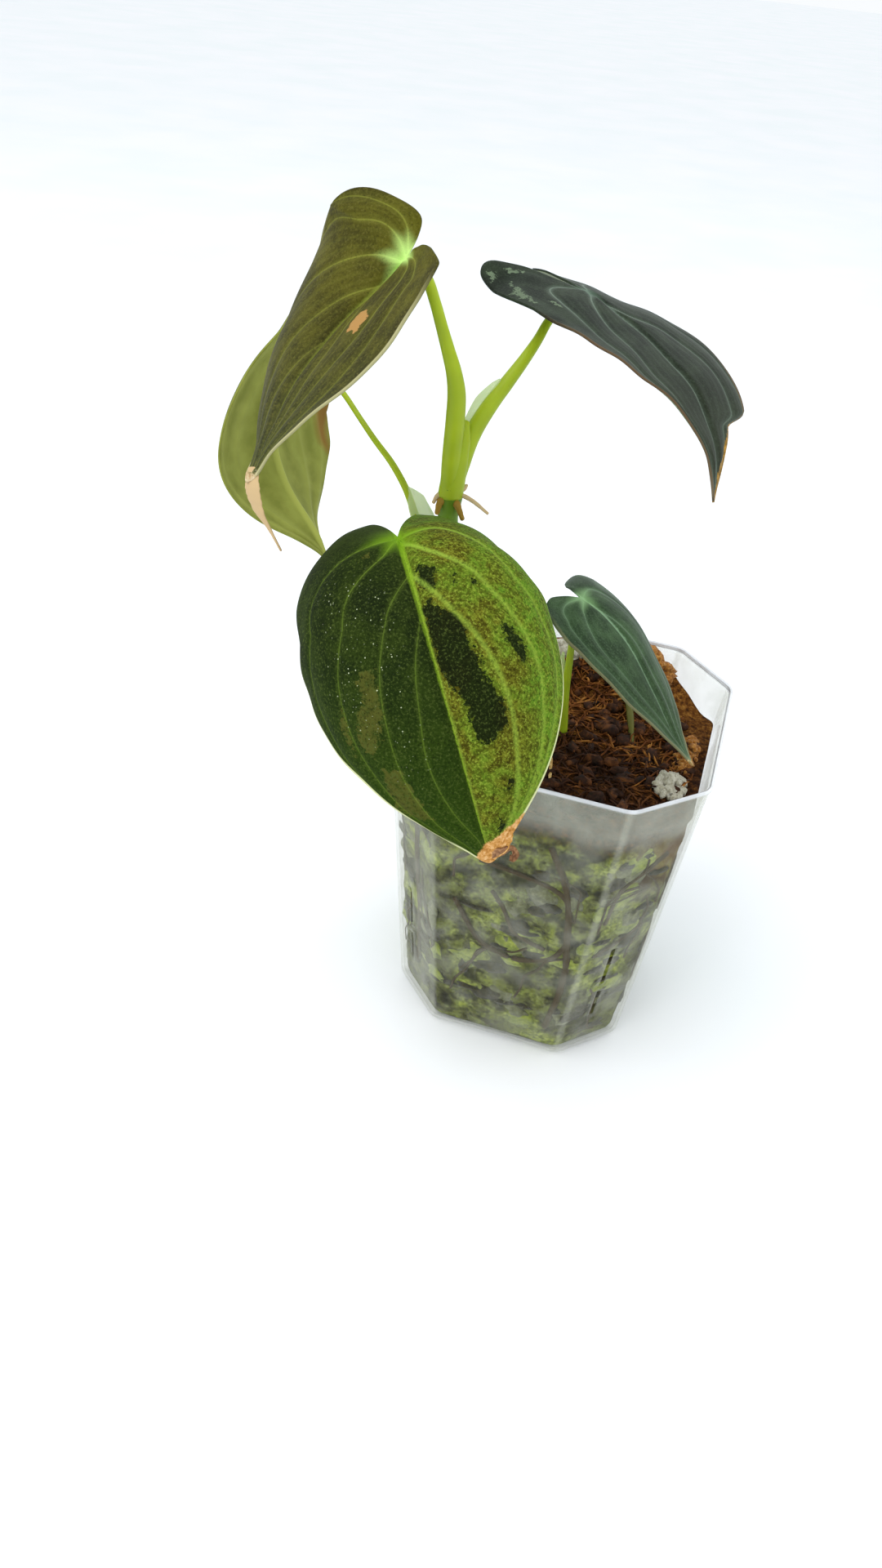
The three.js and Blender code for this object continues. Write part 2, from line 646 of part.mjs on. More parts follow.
// In width, lobe, bend, fold and curl the left half comes first, seen from the notch with the face
// up. width scales the outline from the notch to the tip, and lobe the part behind the notch.
// fold and curl are radians at the lobes, the middle and the tip.
const leaves = {
  leaf_1: {
    midrib: [[-52.1, -30.9, 246.5], [-57.6, -36.8, 236.9], [-76.3, -53.5, 226.3],
      [-70.4, -70.6, 208.9], [-74.9, -73.2, 201.3]],
    face: [[-0.42, -0.52, 0.6], [-0.37, -0.05, 0.86], [-0.39, -0.54, -0.53]],
    halfWidth: 29.7,
    width: [[0.83, 0.88, 0.95, 1.07, 1.23], [0.28, 0.89, 1.29, 1.3, 1.13]],
    lobe: [0.22, 0.89],
    taper: 0.07,
    bend: [0.04, -1.07],
    fold: [[0.72, -0.05, -0.31], [0.84, 0.53, 0.09]],
    curl: [[-0.37, 0.01, -0.46], [-0.63, -1.33, -1.5]],
  },
  leaf_2: {
    midrib: [[-15.7, 13, 235.3], [1.4, 7.2, 231.5], [20.1, -2.8, 221.3],
      [28.9, -14.4, 218.4], [31.1, -31, 202.2]],
    face: [[0.22, 0, 1.03], [0.13, -0.1, 1], [1.02, -0.34, 0.18]],
    halfWidth: 27.7,
    width: [[1.04, 1.05, 1.03, 0.95, 0.88], [1.02, 1.01, 1, 0.97, 1.01]],
    lobe: [1.6, 1.63],
    taper: -0.21,
    bend: [-0.2, 0.02],
    fold: [[-0.06, -0.03, -0.11], [-0.06, 0.1, -0.05]],
    curl: [[-0.43, -0.13, 0.09], [-0.4, 0.44, 0.18]],
  },
  leaf_3: {
    midrib: [[-93.5, 4, 207.4], [-101.5, -7.9, 190.1], [-102.2, -7.9, 175.7],
      [-79.9, -15.8, 168.9], [-75.3, -17, 155.4]],
    face: [[-0.96, 0.57, 0.22], [-0.74, 0.51, 0.06], [-0.57, -0.19, -0.48]],
    halfWidth: 23.8,
    width: [[0.78, 0.96, 1.12, 1.2, 1.16], [1.02, 1.04, 1.04, 0.98, 0.88]],
    lobe: [0.76, 1],
    taper: -0.96,
    bend: [-0.04, 0],
    fold: [[0.17, 0.24, 0.24], [0.3, 0.27, 0.53]],
    curl: [[-1.25, -1.05, -0.29], [-0.18, -0.36, -0.23]],
  },
  leaf_4: {
    midrib: [[-40.5, -60.5, 189.5], [-30.4, -82.4, 193.3], [-18.7, -97.7, 180.3],
      [2.6, -106, 133.7], [-0.3, -94.2, 124.7]],
    face: [[-0.26, -0.21, 0.87], [-0.05, -0.96, 0.82], [0.32, -1.04, -0.1]],
    halfWidth: 33.1,
    width: [[0.83, 0.99, 1.16, 1.2, 1], [0.77, 1.02, 1.2, 1.2, 1.01]],
    lobe: [1.55, 1.54],
    taper: -0.86,
    bend: [-0.22, -0.23],
    fold: [[0.03, 0.31, -0.17], [0.36, 0.48, -0.04]],
    curl: [[-1.41, -1.25, -1.53], [-1.44, -1.25, -0.86]],
  },
  leaf_5: {
    midrib: [[-1.1, -0.9, 153.8], [15.4, -1.7, 149.8], [25.3, -13.6, 138],
      [30.5, -17.6, 130.5], [42.8, -26.5, 122]],
    face: [[0.52, -0.09, 0.85], [0.72, -0.12, 0.8], [0.63, 0.1, 0.69]],
    halfWidth: 21.3,
    width: [[0.88, 1.02, 1.1, 1.06, 0.98], [0.93, 1, 1.06, 1.05, 0.99]],
    lobe: [0.63, 0.65],
    taper: -0.01,
    bend: [-1.54, -0.11],
    fold: [[0.08, 0.07, 0.01], [0.08, -0.28, 0.01]],
    curl: [[-0.54, -0.8, -0.53], [0, -0.1, -0.04]],
  },
};

// Dried ends that grew as part of a blade
const driedEnds = {
  leaf_1: { twist: 1.3, wide: [0.9, -0.2, 0.4], path: [
    [-73.8, -71.2, 205.4, 3.2, 0.4], [-73.2, -73.4, 200.4, 2.3, 0.4], [-71.7, -73.4, 195, 2.4, 0.4],
    [-69.2, -72.7, 190.5, 1.7, 0.38], [-66.5, -72, 185.2, 0.35, 0.3],
  ] },
  leaf_4: { twist: 0.8, wide: [0.3, 0.4, -0.9], path: [
    [0.6, -96.9, 129.8, 2, 0.4], [2.8, -95.7, 130.3, 2.2, 0.4], [4.5, -94, 130.3, 2, 0.38],
    [5.6, -93.8, 128.7, 1.4, 0.35], [5.2, -94.7, 127.3, 0.7, 0.3],
  ] },
};

function leafSolid(name) {
  const blade = bladeSolid(leaves[name]);
  const dried = driedEnds[name];
  if (!dried) return blade;
  return blade.add(stalk(dried.path, { sides: 6, steps: 10, wide: dried.wide, twist: dried.twist }));
}

// Loose things on the soil: pale clumps of moss and a straw

function mossSolid({ x, y, across, deep, high, seed }, substrate) {
  const random = randomSource(seed);
  let clump = blob(x, y, soilHeight(x, y) + high * 0.4, across, deep, high, 0.4);
  for (let k = 0; k < 7; k += 1) {
    const angle = (k / 7) * 2 * Math.PI;
    const size = (0.35 + 0.25 * random()) * across;
    const px = x + 0.75 * across * Math.cos(angle);
    const py = y + 0.75 * deep * Math.sin(angle);
    clump = clump.add(blob(px, py, soilHeight(px, py) + high * 0.3, size, size, high * 0.7, angle));
  }
  const ground = [0, 1, 2, 3].reduce((sum, k) => {
    const angle = (k * Math.PI) / 2;
    return sum.add(substrate.translate([gap * Math.cos(angle), gap * Math.sin(angle), gap]));
  }, substrate.translate([0, 0, gap]));
  return mainBody(clump.subtract(ground).intersect(potRoom(gap, potHeight + 10)));
}

const mossClumps = {
  moss_back: { x: -6, y: 42, across: 9, deep: 4.2, high: 3.4, seed: 5 },
  moss_right: { x: 37.5, y: -13, across: 4.6, deep: 5.4, high: 3, seed: 8 },
};

const straw = { from: [0, -14.1], to: [3.2, -31.2], radius: 0.6 };

function strawSolid() {
  const steps = 30;
  let highest = 0;
  for (let k = 0; k <= steps; k += 1) {
    const x = THREE.MathUtils.lerp(straw.from[0], straw.to[0], k / steps);
    const y = THREE.MathUtils.lerp(straw.from[1], straw.to[1], k / steps);
    highest = Math.max(highest, soilHeight(x, y));
  }
  const z = highest + straw.radius - gap;
  return stalk([[...straw.from, z, straw.radius], [...straw.to, z, straw.radius * 0.7]], {
    sides: 6,
    steps: 2,
  });
}

// Assembly

const colours = {
  clearPlastic: { color: '#dfe6e2', roughness: 0.12, transparent: true, opacity: 0.35 },
  fibre: { color: '#3d2a1c', roughness: 0.95 },
  paleMoss: { color: '#b9b184', roughness: 0.95 },
  straw: { color: '#c9a36a', roughness: 0.8 },
  greenStem: { color: '#8fb02a', roughness: 0.45 },
  oliveLeaf: { color: '#4a4a1e', roughness: 0.38 },
  slateLeaf: { color: '#38443a', roughness: 0.38 },
  sageUnderside: { color: '#8a9450', roughness: 0.5 },
  variegatedLeaf: { color: '#6f7a24', roughness: 0.36 },
  blueLeaf: { color: '#3f5f4a', roughness: 0.38 },
};

const plant = new THREE.Group();

function place(name, solid, finish) {
  const material = new THREE.MeshStandardMaterial({ metalness: 0, side: THREE.FrontSide, ...finish });
  const mesh = new THREE.Mesh(geometryOf(solid), material);
  mesh.name = name;
  plant.add(mesh);
}

const substrate = substrateSolid([stemHole(stemPath), stemHole(shootPath)]);
place('pot', potSolid(), colours.clearPlastic);
place('substrate', substrate, colours.fibre);
for (const [name, clump] of Object.entries(mossClumps)) {
  place(name, mossSolid(clump, substrate), colours.paleMoss);
}
place('straw', strawSolid(), colours.straw);
place('stem', stemSolid(), colours.greenStem);
place('petiole_5', shootSolid(), colours.greenStem);
place('leaf_1', leafSolid('leaf_1'), colours.oliveLeaf);
place('leaf_2', leafSolid('leaf_2'), colours.slateLeaf);
place('leaf_3', leafSolid('leaf_3'), colours.sageUnderside);
place('leaf_4', leafSolid('leaf_4'), colours.variegatedLeaf);
place('leaf_5', leafSolid('leaf_5'), colours.blueLeaf);

export default plant;
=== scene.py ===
# %% [markdown]
# A young philodendron in a clear nursery pot. The plant has five waved, heart-shaped leaves on one
# leaning stem and one shoot. Blender gives each piece of the CAD model its finish: velvety blades
# with veins and variegation, fleshy stalks, a hazy clear pot, and moss, bark and roots inside it.
# All of it stands in the CAD model's own frame, in metres, so nothing has to be fitted by hand.

# %% Load the fixed frame
import math
import random

import bmesh
import bpy
import numpy as np
from mathutils import Matrix, Vector


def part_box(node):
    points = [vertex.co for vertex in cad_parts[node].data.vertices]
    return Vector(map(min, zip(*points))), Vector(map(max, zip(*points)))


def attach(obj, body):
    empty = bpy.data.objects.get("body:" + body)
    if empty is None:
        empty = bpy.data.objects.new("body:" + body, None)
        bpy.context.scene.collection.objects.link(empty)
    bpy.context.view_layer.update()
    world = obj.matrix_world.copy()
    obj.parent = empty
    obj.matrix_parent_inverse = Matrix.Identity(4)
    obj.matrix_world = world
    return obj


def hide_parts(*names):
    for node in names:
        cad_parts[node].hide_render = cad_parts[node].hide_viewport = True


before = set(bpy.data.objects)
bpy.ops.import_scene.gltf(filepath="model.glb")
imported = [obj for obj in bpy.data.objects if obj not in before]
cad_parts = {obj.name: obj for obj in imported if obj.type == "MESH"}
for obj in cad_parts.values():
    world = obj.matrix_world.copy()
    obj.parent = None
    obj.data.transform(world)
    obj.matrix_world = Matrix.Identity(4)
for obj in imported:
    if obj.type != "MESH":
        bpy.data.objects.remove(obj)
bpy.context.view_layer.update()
MM = 0.001
print("CAD nodes:", sorted(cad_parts))

# %% [markdown]
# The camera comes first, because every look is judged through it. It stands in front of the plant
# and above it, turned a little to the left, and it is rolled by a few degrees as a hand-held
# camera is. The picture is taken as 1080 by 1920 pixels.

# %% Camera
PICTURE_HEIGHT = 1920
FOCAL_PIXELS = 1409
SENSOR = 36
CAMERA_PLACE = Vector((38.438, -310.957, 311.080)) * MM
CAMERA_DOWN = math.radians(36.7)
CAMERA_LEFT = math.radians(13.8)
CAMERA_ROLL = math.radians(6.0)


def make_camera():
    data = bpy.data.cameras.new("camera")
    data.sensor_width = SENSOR
    data.lens = FOCAL_PIXELS * SENSOR / PICTURE_HEIGHT
    data.clip_start = 0.01
    camera = bpy.data.objects.new("camera", data)
    bpy.context.scene.collection.objects.link(camera)
    level = math.cos(CAMERA_DOWN)
    left, ahead = -math.sin(CAMERA_LEFT) * level, math.cos(CAMERA_LEFT) * level
    forward = Vector((left, ahead, -math.sin(CAMERA_DOWN)))
    right = forward.cross(Vector((0, 0, 1))).normalized()
    up = right.cross(forward)
    across = right * math.cos(CAMERA_ROLL) + up * math.sin(CAMERA_ROLL)
    upwards = up * math.cos(CAMERA_ROLL) - right * math.sin(CAMERA_ROLL)
    turn = Matrix((across, upwards, -forward)).transposed()
    camera.matrix_world = Matrix.Translation(CAMERA_PLACE) @ turn.to_4x4()
    bpy.context.scene.camera = camera
    print("camera lens in mm:", round(data.lens, 2))


make_camera()

# %% [markdown]
# Each material is a small tree of nodes. One function turns the sRGB colours that people read off
# a swatch into the linear light that the shaders add up. Another adds a node, sets it and links it:
# plain values fill its sockets in order, names with a capital letter are sockets too, and names in
# small letters are the node's own settings. A text value is a colour, and an output is a link.

# %% Colours and nodes
PLUS = {"operation": "ADD"}
TIMES = {"operation": "MULTIPLY"}
SMOOTH = {"interpolation_type": "SMOOTHSTEP"}


def hex_colour(code):
    channels = [int(code[k:k + 2], 16) / 255 for k in (1, 3, 5)]
    linear = [c / 12.92 if c <= 0.04045 else ((c + 0.055) / 1.055) ** 2.4 for c in channels]
    return (*linear, 1.0)


def fill(tree, node, sockets):
    for name, value in sockets.items():
        if isinstance(value, bpy.types.NodeSocket):
            tree.links.new(value, node.inputs[name])
        elif isinstance(value, str):
            node.inputs[name].default_value = hex_colour(value)
        else:
            node.inputs[name].default_value = value


def add(tree, kind, *values, out=0, stops=(), **named):
    """Adds a node and returns one of its outputs. Stops are the places and colours of a ramp."""
    node = tree.nodes.new("ShaderNode" + kind)
    sockets = dict(enumerate(values))
    for name, value in named.items():
        if name[0].isupper():
            sockets[name] = value
        else:
            setattr(node, name, value)
    fill(tree, node, sockets)
    ramp = node.color_ramp.elements if stops else []
    while len(ramp) < len(stops):
        ramp.new(1.0)
    for element, (position, code) in zip(ramp, stops):
        element.position = position
        element.color = hex_colour(code)
    return node.outputs[out]


print("a lime green in linear light:", [round(c, 3) for c in hex_colour("#aac212")])

# %% [markdown]
# A material starts from the Principled shader. What is the same all over a surface, such as its
# roughness, is set on the shader's own sockets.

# %% Finish a piece


def new_material(name, **finish):
    material = bpy.data.materials.new(name)
    material.use_nodes = True
    tree = material.node_tree
    shader = tree.nodes["Principled BSDF"]
    fill(tree, shader, {socket.replace("_", " "): value for socket, value in finish.items()})
    return material, tree, shader


def make_piece(name, shape, materials, replaces=(), sharp=None):
    mesh = bpy.data.meshes.new(name)
    shape.to_mesh(mesh)
    shape.free()
    mesh.shade_smooth()
    if sharp:
        mesh.set_sharp_from_angle(angle=math.radians(sharp))
    for material in materials:
        mesh.materials.append(material)
    piece = bpy.data.objects.new(name, mesh)
    bpy.context.scene.collection.objects.link(piece)
    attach(piece, "root")
    if replaces:
        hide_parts(*replaces)
    print(name, "has", len(mesh.polygons), "faces")
    return piece


# %% [markdown]
# Leaves are drawn from short tables of numbers, as a maker keeps a few templates. One function
# reads evenly spaced values as a smooth curve that goes through them all. The other blends a few
# values as a Bezier curve does, pulled towards each in turn. Both take whole arrays at once.

# %% Curves from short tables


def smooth_table(values, place):
    """Evenly spaced values read as one smooth curve, place running from 0 to 1."""
    values = np.asarray(values, float)
    last = len(values) - 1
    at = np.clip(np.asarray(place, float) * last, 0, last - 1e-9)
    index = at.astype(int)
    h = at - index
    padded = np.concatenate([[2 * values[0] - values[1]], values, [2 * values[-1] - values[-2]]])
    a, b, c, d = (padded[index + k] for k in range(4))
    return b + 0.5 * h * (c - a + h * (2 * a - 5 * b + 4 * c - d + h * (3 * (b - c) + d - a)))


def blend(values, place):
    """One smooth value from a short list, as on a Bezier curve."""
    level = [np.asarray(value, float) for value in values]
    place = np.asarray(place, float)
    if level[0].ndim:
        place = place[..., None]
    while len(level) > 1:
        level = [a + (b - a) * place for a, b in zip(level, level[1:])]
    return level[0]


print("0, 1, 0 read half way:", float(smooth_table([0, 1, 0], 0.5)), "and", float(blend([0, 1, 0], 0.5)))

# %% [markdown]
# A leaf blade starts flat. Its outline is a heart: one table gives the distance from the midrib, and
# another the distance along it, from the notch round a lobe to the tip. Points between midrib and
# margin sweep towards the tip, as the veins do. Each half has its own width and lobe, and a torn
# margin is a place where the reach of the left half drops.

# %% A flat heart
MARGIN_ACROSS = [0, 0.14, 0.38, 0.68, 0.92, 1, 0.94, 0.72, 0.42, 0.16, 0]
MARGIN_ALONG = [0, -0.1, -0.19, -0.17, -0.02, 0.16, 0.36, 0.58, 0.77, 0.9, 1]
MIDRIB_PLACE = [0, 0.02, 0.05, 0.1, 0.2, 0.32, 0.47, 0.63, 0.79, 0.9, 1]
WIDEST_PLACE = 0.16
VEIN_SWEEP = 1.7
NOT_TORN = (0, 1, 1)


def by_half(pair, right):
    """Reads the left half's values where right is false and the right half's where it is true."""
    return lambda read: np.where(right, read(pair[1]), read(pair[0]))


def flat_blade(leaf, across, along):
    """Places out from the midrib and along it, as shares, and how far out the margin is."""
    right = across > 0
    y = smooth_table(MARGIN_ALONG, along)
    y = np.where(y < 0, y * by_half(leaf["lobe"], right)(float), y)
    middle = np.clip((y - WIDEST_PLACE) / (1 - WIDEST_PLACE), 0, 1)
    narrowing = 1 - leaf["taper"] * 1.4 * middle * (1 - middle)
    width = by_half(leaf["width"], right)(lambda values: blend(values, along))
    reach = smooth_table(MARGIN_ACROSS, along) * narrowing * width
    torn_from, torn_to, kept = leaf.get("torn", NOT_TORN)
    torn = np.clip((along - torn_from) / (torn_to - torn_from), 0, 1)
    reach = np.where(right, reach, reach * (1 - (1 - kept) * torn * torn * (3 - 2 * torn)))
    start = smooth_table(MIDRIB_PLACE, along)
    return across * reach, start + (y - start) * np.abs(across) ** VEIN_SWEEP, reach


print("widest place of the heart:", float(smooth_table(MARGIN_ALONG, 0.5)), "of the midrib's length")

# %% [markdown]
# The flat heart is then carried onto the midrib's curve in space. Each half folds up from the midrib
# and curls on towards its margin, and the lobes behind the stalk bend away, as the real blades do.
# The same numbers shape the CAD solids, so the fine blade lies where the plain one lay.

# %% The bent blade
MIDRIB_STEPS = 241
STRAIGHT = 1e-4


def midrib_table(leaf):
    """Steps along the midrib's curve and the length in millimetres up to each."""
    steps = np.linspace(0, 1, MIDRIB_STEPS)
    line = blend(leaf["midrib"], steps)
    lengths = np.concatenate([[0], np.cumsum(np.linalg.norm(np.diff(line, axis=0), axis=1))])
    return steps, lengths


def unit(vectors):
    return vectors / np.maximum(np.linalg.norm(vectors, axis=-1, keepdims=True), 1e-12)


def blade_points(leaf, across, along):
    """Points of the bent blade in millimetres; across runs from -1 to 1, along from notch to tip."""
    right = across > 0
    x, y, _ = flat_blade(leaf, across, along)
    steps, lengths = midrib_table(leaf)
    length = lengths[-1]
    place = np.clip(y, 0, 1)
    at = np.interp(place * length, lengths, steps)
    point = blend(leaf["midrib"], at)
    tangent = unit(blend(np.diff(leaf["midrib"], axis=0), at))
    up = blend(leaf["face"], place)
    up = unit(up - (up * tangent).sum(-1, keepdims=True) * tangent)
    side = np.cross(tangent, up)
    behind = -np.minimum(y * length, 0)
    bend = by_half(leaf["bend"], right)(float) / (0.2 * length) + 1e-5
    point = point - tangent * (np.sin(bend * behind) / bend)[:, None]
    point = point + up * ((1 - np.cos(bend * behind)) / bend)[:, None]
    along_blade = np.clip((y + 0.2) / 1.2, 0, 1)
    fold = by_half(leaf["fold"], right)(lambda values: blend(values, along_blade))
    curl = by_half(leaf["curl"], right)(lambda values: blend(values, along_blade))
    curl = np.where(np.abs(curl) < STRAIGHT, STRAIGHT, curl)
    out = np.abs(x)
    outwards = (np.sin(fold + curl * out) - np.sin(fold)) / curl * leaf["half_width"]
    upwards = (np.cos(fold) - np.cos(fold + curl * out)) / curl * leaf["half_width"]
    return point + side * (np.sign(x) * outwards)[:, None] + up * upwards[:, None]


print("a vector of 3, 0, 4 made one long:", unit(np.array([3.0, 0.0, 4.0])).tolist())

# %% [markdown]
# Now the five leaves themselves. Lists in pairs give the left half first, seen from the notch with
# the face up. Midribs are in millimetres, folds and curls in radians at the lobes, middle and tip.
# Each vein is given by where along the blade it starts and ends, and how far across it has come at
# six even steps between. Patches are lists of corners, each a place across and along.
#
# The first leaf hangs from the tallest stalk, with one half folded up and a sore spot on the other.

# %% The olive leaf
LEAVES = {}
LEAVES["leaf_1"] = {
    "midrib": [[-52.1, -30.9, 246.5], [-57.6, -36.8, 236.9], [-76.3, -53.5, 226.3],
               [-70.4, -70.6, 208.9], [-74.9, -73.2, 201.3]],
    "face": [[-0.42, -0.52, 0.6], [-0.37, -0.05, 0.86], [-0.39, -0.54, -0.53]],
    "half_width": 29.7,
    "width": [[0.83, 0.88, 0.95, 1.07, 1.23], [0.28, 0.89, 1.29, 1.3, 1.13]],
    "lobe": [0.22, 0.89],
    "taper": 0.07,
    "bend": [0.04, -1.07],
    "fold": [[0.72, -0.05, -0.31], [0.84, 0.53, 0.09]],
    "curl": [[-0.37, 0.01, -0.46], [-0.63, -1.33, -1.5]],
    "veins": [
        [(0.35, 0.85, [0, 0.09, 0.16, 0.21, 0.24, 0.26]),
         (0.1, 0.9, [0.5, 0.52, 0.48, 0.45, 0.43, 0.32]),
         (0.1, 0.9, [0.66, 0.69, 0.69, 0.69, 0.74, 0.72])],
        [(0.56, 0.86, [0, 0.07, 0.14, 0.21, 0.3, 0.38]),
         (0.33, 0.83, [0, 0.13, 0.22, 0.34, 0.45, 0.58]),
         (0.12, 0.67, [0.2, 0.27, 0.37, 0.51, 0.73, 0.9]),
         (0.1, 0.5, [0.42, 0.54, 0.66, 0.73, 0.88, 1.02]),
         (0.1, 0.45, [0.6, 0.73, 0.84, 0.89, 0.97, 1.05])],
    ],
    "scar": [[(-0.42, 0.5), (-0.35, 0.49), (-0.32, 0.475), (-0.23, 0.48), (-0.21, 0.51),
              (-0.26, 0.545), (-0.32, 0.54), (-0.39, 0.555)]],
    "dry_from": 0.955,
}
print("leaf_1 midrib in mm:", round(midrib_table(LEAVES["leaf_1"])[1][-1]))

# %% [markdown]
# The second leaf arches away to the right, nearly flat and a little crumpled. A piece is torn out of
# its left margin near the tip, and from there on the margin has dried. Pale flecks lie on one lobe.

# %% The slate leaf
LEAVES["leaf_2"] = {
    "midrib": [[-15.7, 13, 235.3], [1.4, 7.2, 231.5], [20.1, -2.8, 221.3],
               [28.9, -14.4, 218.4], [31.1, -31, 202.2]],
    "face": [[0.22, 0, 1.03], [0.13, -0.1, 1], [1.02, -0.34, 0.18]],
    "half_width": 27.7,
    "width": [[1.04, 1.05, 1.03, 0.95, 0.88], [1.02, 1.01, 1, 0.97, 1.01]],
    "lobe": [1.6, 1.63],
    "taper": -0.21,
    "bend": [-0.2, 0.02],
    "fold": [[-0.06, -0.03, -0.11], [-0.06, 0.1, -0.05]],
    "curl": [[-0.43, -0.13, 0.09], [-0.4, 0.44, 0.18]],
    "veins": [
        [(0.28, 0.83, [0, 0.16, 0.44, 0.57, 0.66, 0.8]),
         (0.1, 0.7, [0.3, 0.5, 0.66, 0.78, 0.88, 0.97])],
        [(0.1, 0.85, [0.12, 0.2, 0.37, 0.455, 0.55, 0.68]),
         (0.1, 0.85, [0.3, 0.55, 0.66, 0.73, 0.8, 0.9])],
    ],
    "crumple": 0.5,
    "torn": (0.705, 0.75, 0.56),
    "dry_from": 0.955,
    "dry_slant": 0.22,
}
LEAVES["leaf_2"]["bronze"] = [
    [(0.8, 0.2), (0.9, 0.22), (0.86, 0.25)],
    [(0.84, 0.3), (0.88, 0.34), (0.94, 0.36), (0.9, 0.39), (0.85, 0.35)],
    [(0.7, 0.35), (0.75, 0.38), (0.72, 0.39)],
    [(0.92, 0.26), (0.97, 0.28), (0.95, 0.31)],
]
print("leaf_2 midrib in mm:", round(midrib_table(LEAVES["leaf_2"])[1][-1]))

# %% [markdown]
# The third leaf turns its back to the front, so its underside is what is seen. Its margin keeps the
# upper side's colour or the lower one's, and rim says which: 1 is the underside.

# %% The sage leaf
LEAVES["leaf_3"] = {
    "midrib": [[-93.5, 4, 207.4], [-101.5, -7.9, 190.1], [-102.2, -7.9, 175.7],
               [-79.9, -15.8, 168.9], [-75.3, -17, 155.4]],
    "face": [[-0.96, 0.57, 0.22], [-0.74, 0.51, 0.06], [-0.57, -0.19, -0.48]],
    "half_width": 23.8,
    "width": [[0.78, 0.96, 1.12, 1.2, 1.16], [1.02, 1.04, 1.04, 0.98, 0.88]],
    "lobe": [0.76, 1],
    "taper": -0.96,
    "bend": [-0.04, 0],
    "fold": [[0.17, 0.24, 0.24], [0.3, 0.27, 0.53]],
    "curl": [[-1.25, -1.05, -0.29], [-0.18, -0.36, -0.23]],
    "veins": [
        [(0.1, 0.85, [0.12, 0.28, 0.4, 0.48, 0.52, 0.5]),
         (0.1, 0.8, [0.4, 0.62, 0.74, 0.8, 0.84, 0.84])],
        [(0.1, 0.85, [0.12, 0.28, 0.4, 0.48, 0.52, 0.5]),
         (0.1, 0.8, [0.4, 0.62, 0.74, 0.8, 0.84, 0.84])],
    ],
    "scar": [[(0.8, 0.46), (1, 0.42), (1, 0.64), (0.86, 0.6)]],
    "rim": 1,
    "dry_from": 0.97,
}
print("leaf_3 midrib in mm:", round(midrib_table(LEAVES["leaf_3"])[1][-1]))

# %% [markdown]
# The fourth leaf is the largest and hangs in front of the stem. Both halves rise a little from the
# midrib and then curl down, like a roof.

# %% The variegated leaf
LEAVES["leaf_4"] = {
    "midrib": [[-40.5, -60.5, 189.5], [-30.4, -82.4, 193.3], [-18.7, -97.7, 180.3],
               [2.6, -106, 133.7], [-0.3, -94.2, 124.7]],
    "face": [[-0.26, -0.21, 0.87], [-0.05, -0.96, 0.82], [0.32, -1.04, -0.1]],
    "half_width": 33.1,
    "width": [[0.83, 0.99, 1.16, 1.2, 1], [0.77, 1.02, 1.2, 1.2, 1.01]],
    "lobe": [1.55, 1.54],
    "taper": -0.86,
    "bend": [-0.22, -0.23],
    "fold": [[0.03, 0.31, -0.17], [0.36, 0.48, -0.04]],
    "curl": [[-1.41, -1.25, -1.53], [-1.44, -1.25, -0.86]],
    "veins": [
        [(0.38, 0.83, [0, 0.16, 0.28, 0.36, 0.45, 0.6]),
         (0.24, 0.78, [0.06, 0.21, 0.43, 0.545, 0.65, 0.78]),
         (0.15, 0.7, [0.12, 0.38, 0.57, 0.7, 0.78, 0.88])],
        [(0.48, 0.88, [0, 0.1, 0.16, 0.24, 0.27, 0.17]),
         (0.38, 0.83, [0, 0.2, 0.3, 0.37, 0.5, 0.66]),
         (0.2, 0.8, [0.12, 0.18, 0.455, 0.56, 0.67, 0.87]),
         (0.2, 0.75, [0.17, 0.35, 0.73, 0.82, 0.86, 0.97])],
    ],
    "dry_from": 0.9,
    "dry_slant": 0.05,
}
print("leaf_4 midrib in mm:", round(midrib_table(LEAVES["leaf_4"])[1][-1]))

# %% [markdown]
# Its left half is pale, with dark patches that start at the midrib. Its right half is dark, with
# bronze ones. Variegation is a birthmark: each patch has its own ragged outline and keeps its place,
# so each is given as a few corners, and noise roughens its edge later.

# %% Patches of the variegated leaf
LEAVES["leaf_4"]["dark"] = [
    [(-0.05, 0.375), (-0.1, 0.378), (-0.15, 0.385), (-0.2, 0.41), (-0.16, 0.415), (-0.17, 0.435),
     (-0.12, 0.442), (-0.07, 0.43), (-0.045, 0.41), (-0.07, 0.39)],
    [(-0.02, 0.47), (-0.08, 0.46), (-0.13, 0.49), (-0.2, 0.5), (-0.235, 0.53), (-0.21, 0.56),
     (-0.25, 0.585), (-0.24, 0.61), (-0.3, 0.635), (-0.34, 0.665), (-0.33, 0.69), (-0.27, 0.695),
     (-0.2, 0.705), (-0.13, 0.69), (-0.12, 0.655), (-0.09, 0.62), (-0.05, 0.6), (-0.02, 0.57)],
    [(-0.43, 0.553), (-0.48, 0.565), (-0.53, 0.6), (-0.51, 0.62), (-0.465, 0.615), (-0.44, 0.59),
     (-0.42, 0.565)],
    [(-0.38, 0.46), (-0.41, 0.47), (-0.41, 0.48), (-0.38, 0.475)],
    [(-0.27, 0.435), (-0.31, 0.445), (-0.27, 0.455)],
    [(-0.4, 0.76), (-0.47, 0.775), (-0.44, 0.79), (-0.37, 0.785)],
    [(-0.34, 0.828), (-0.5, 0.845), (-0.6, 0.862), (-0.45, 0.868), (-0.37, 0.85)],
]
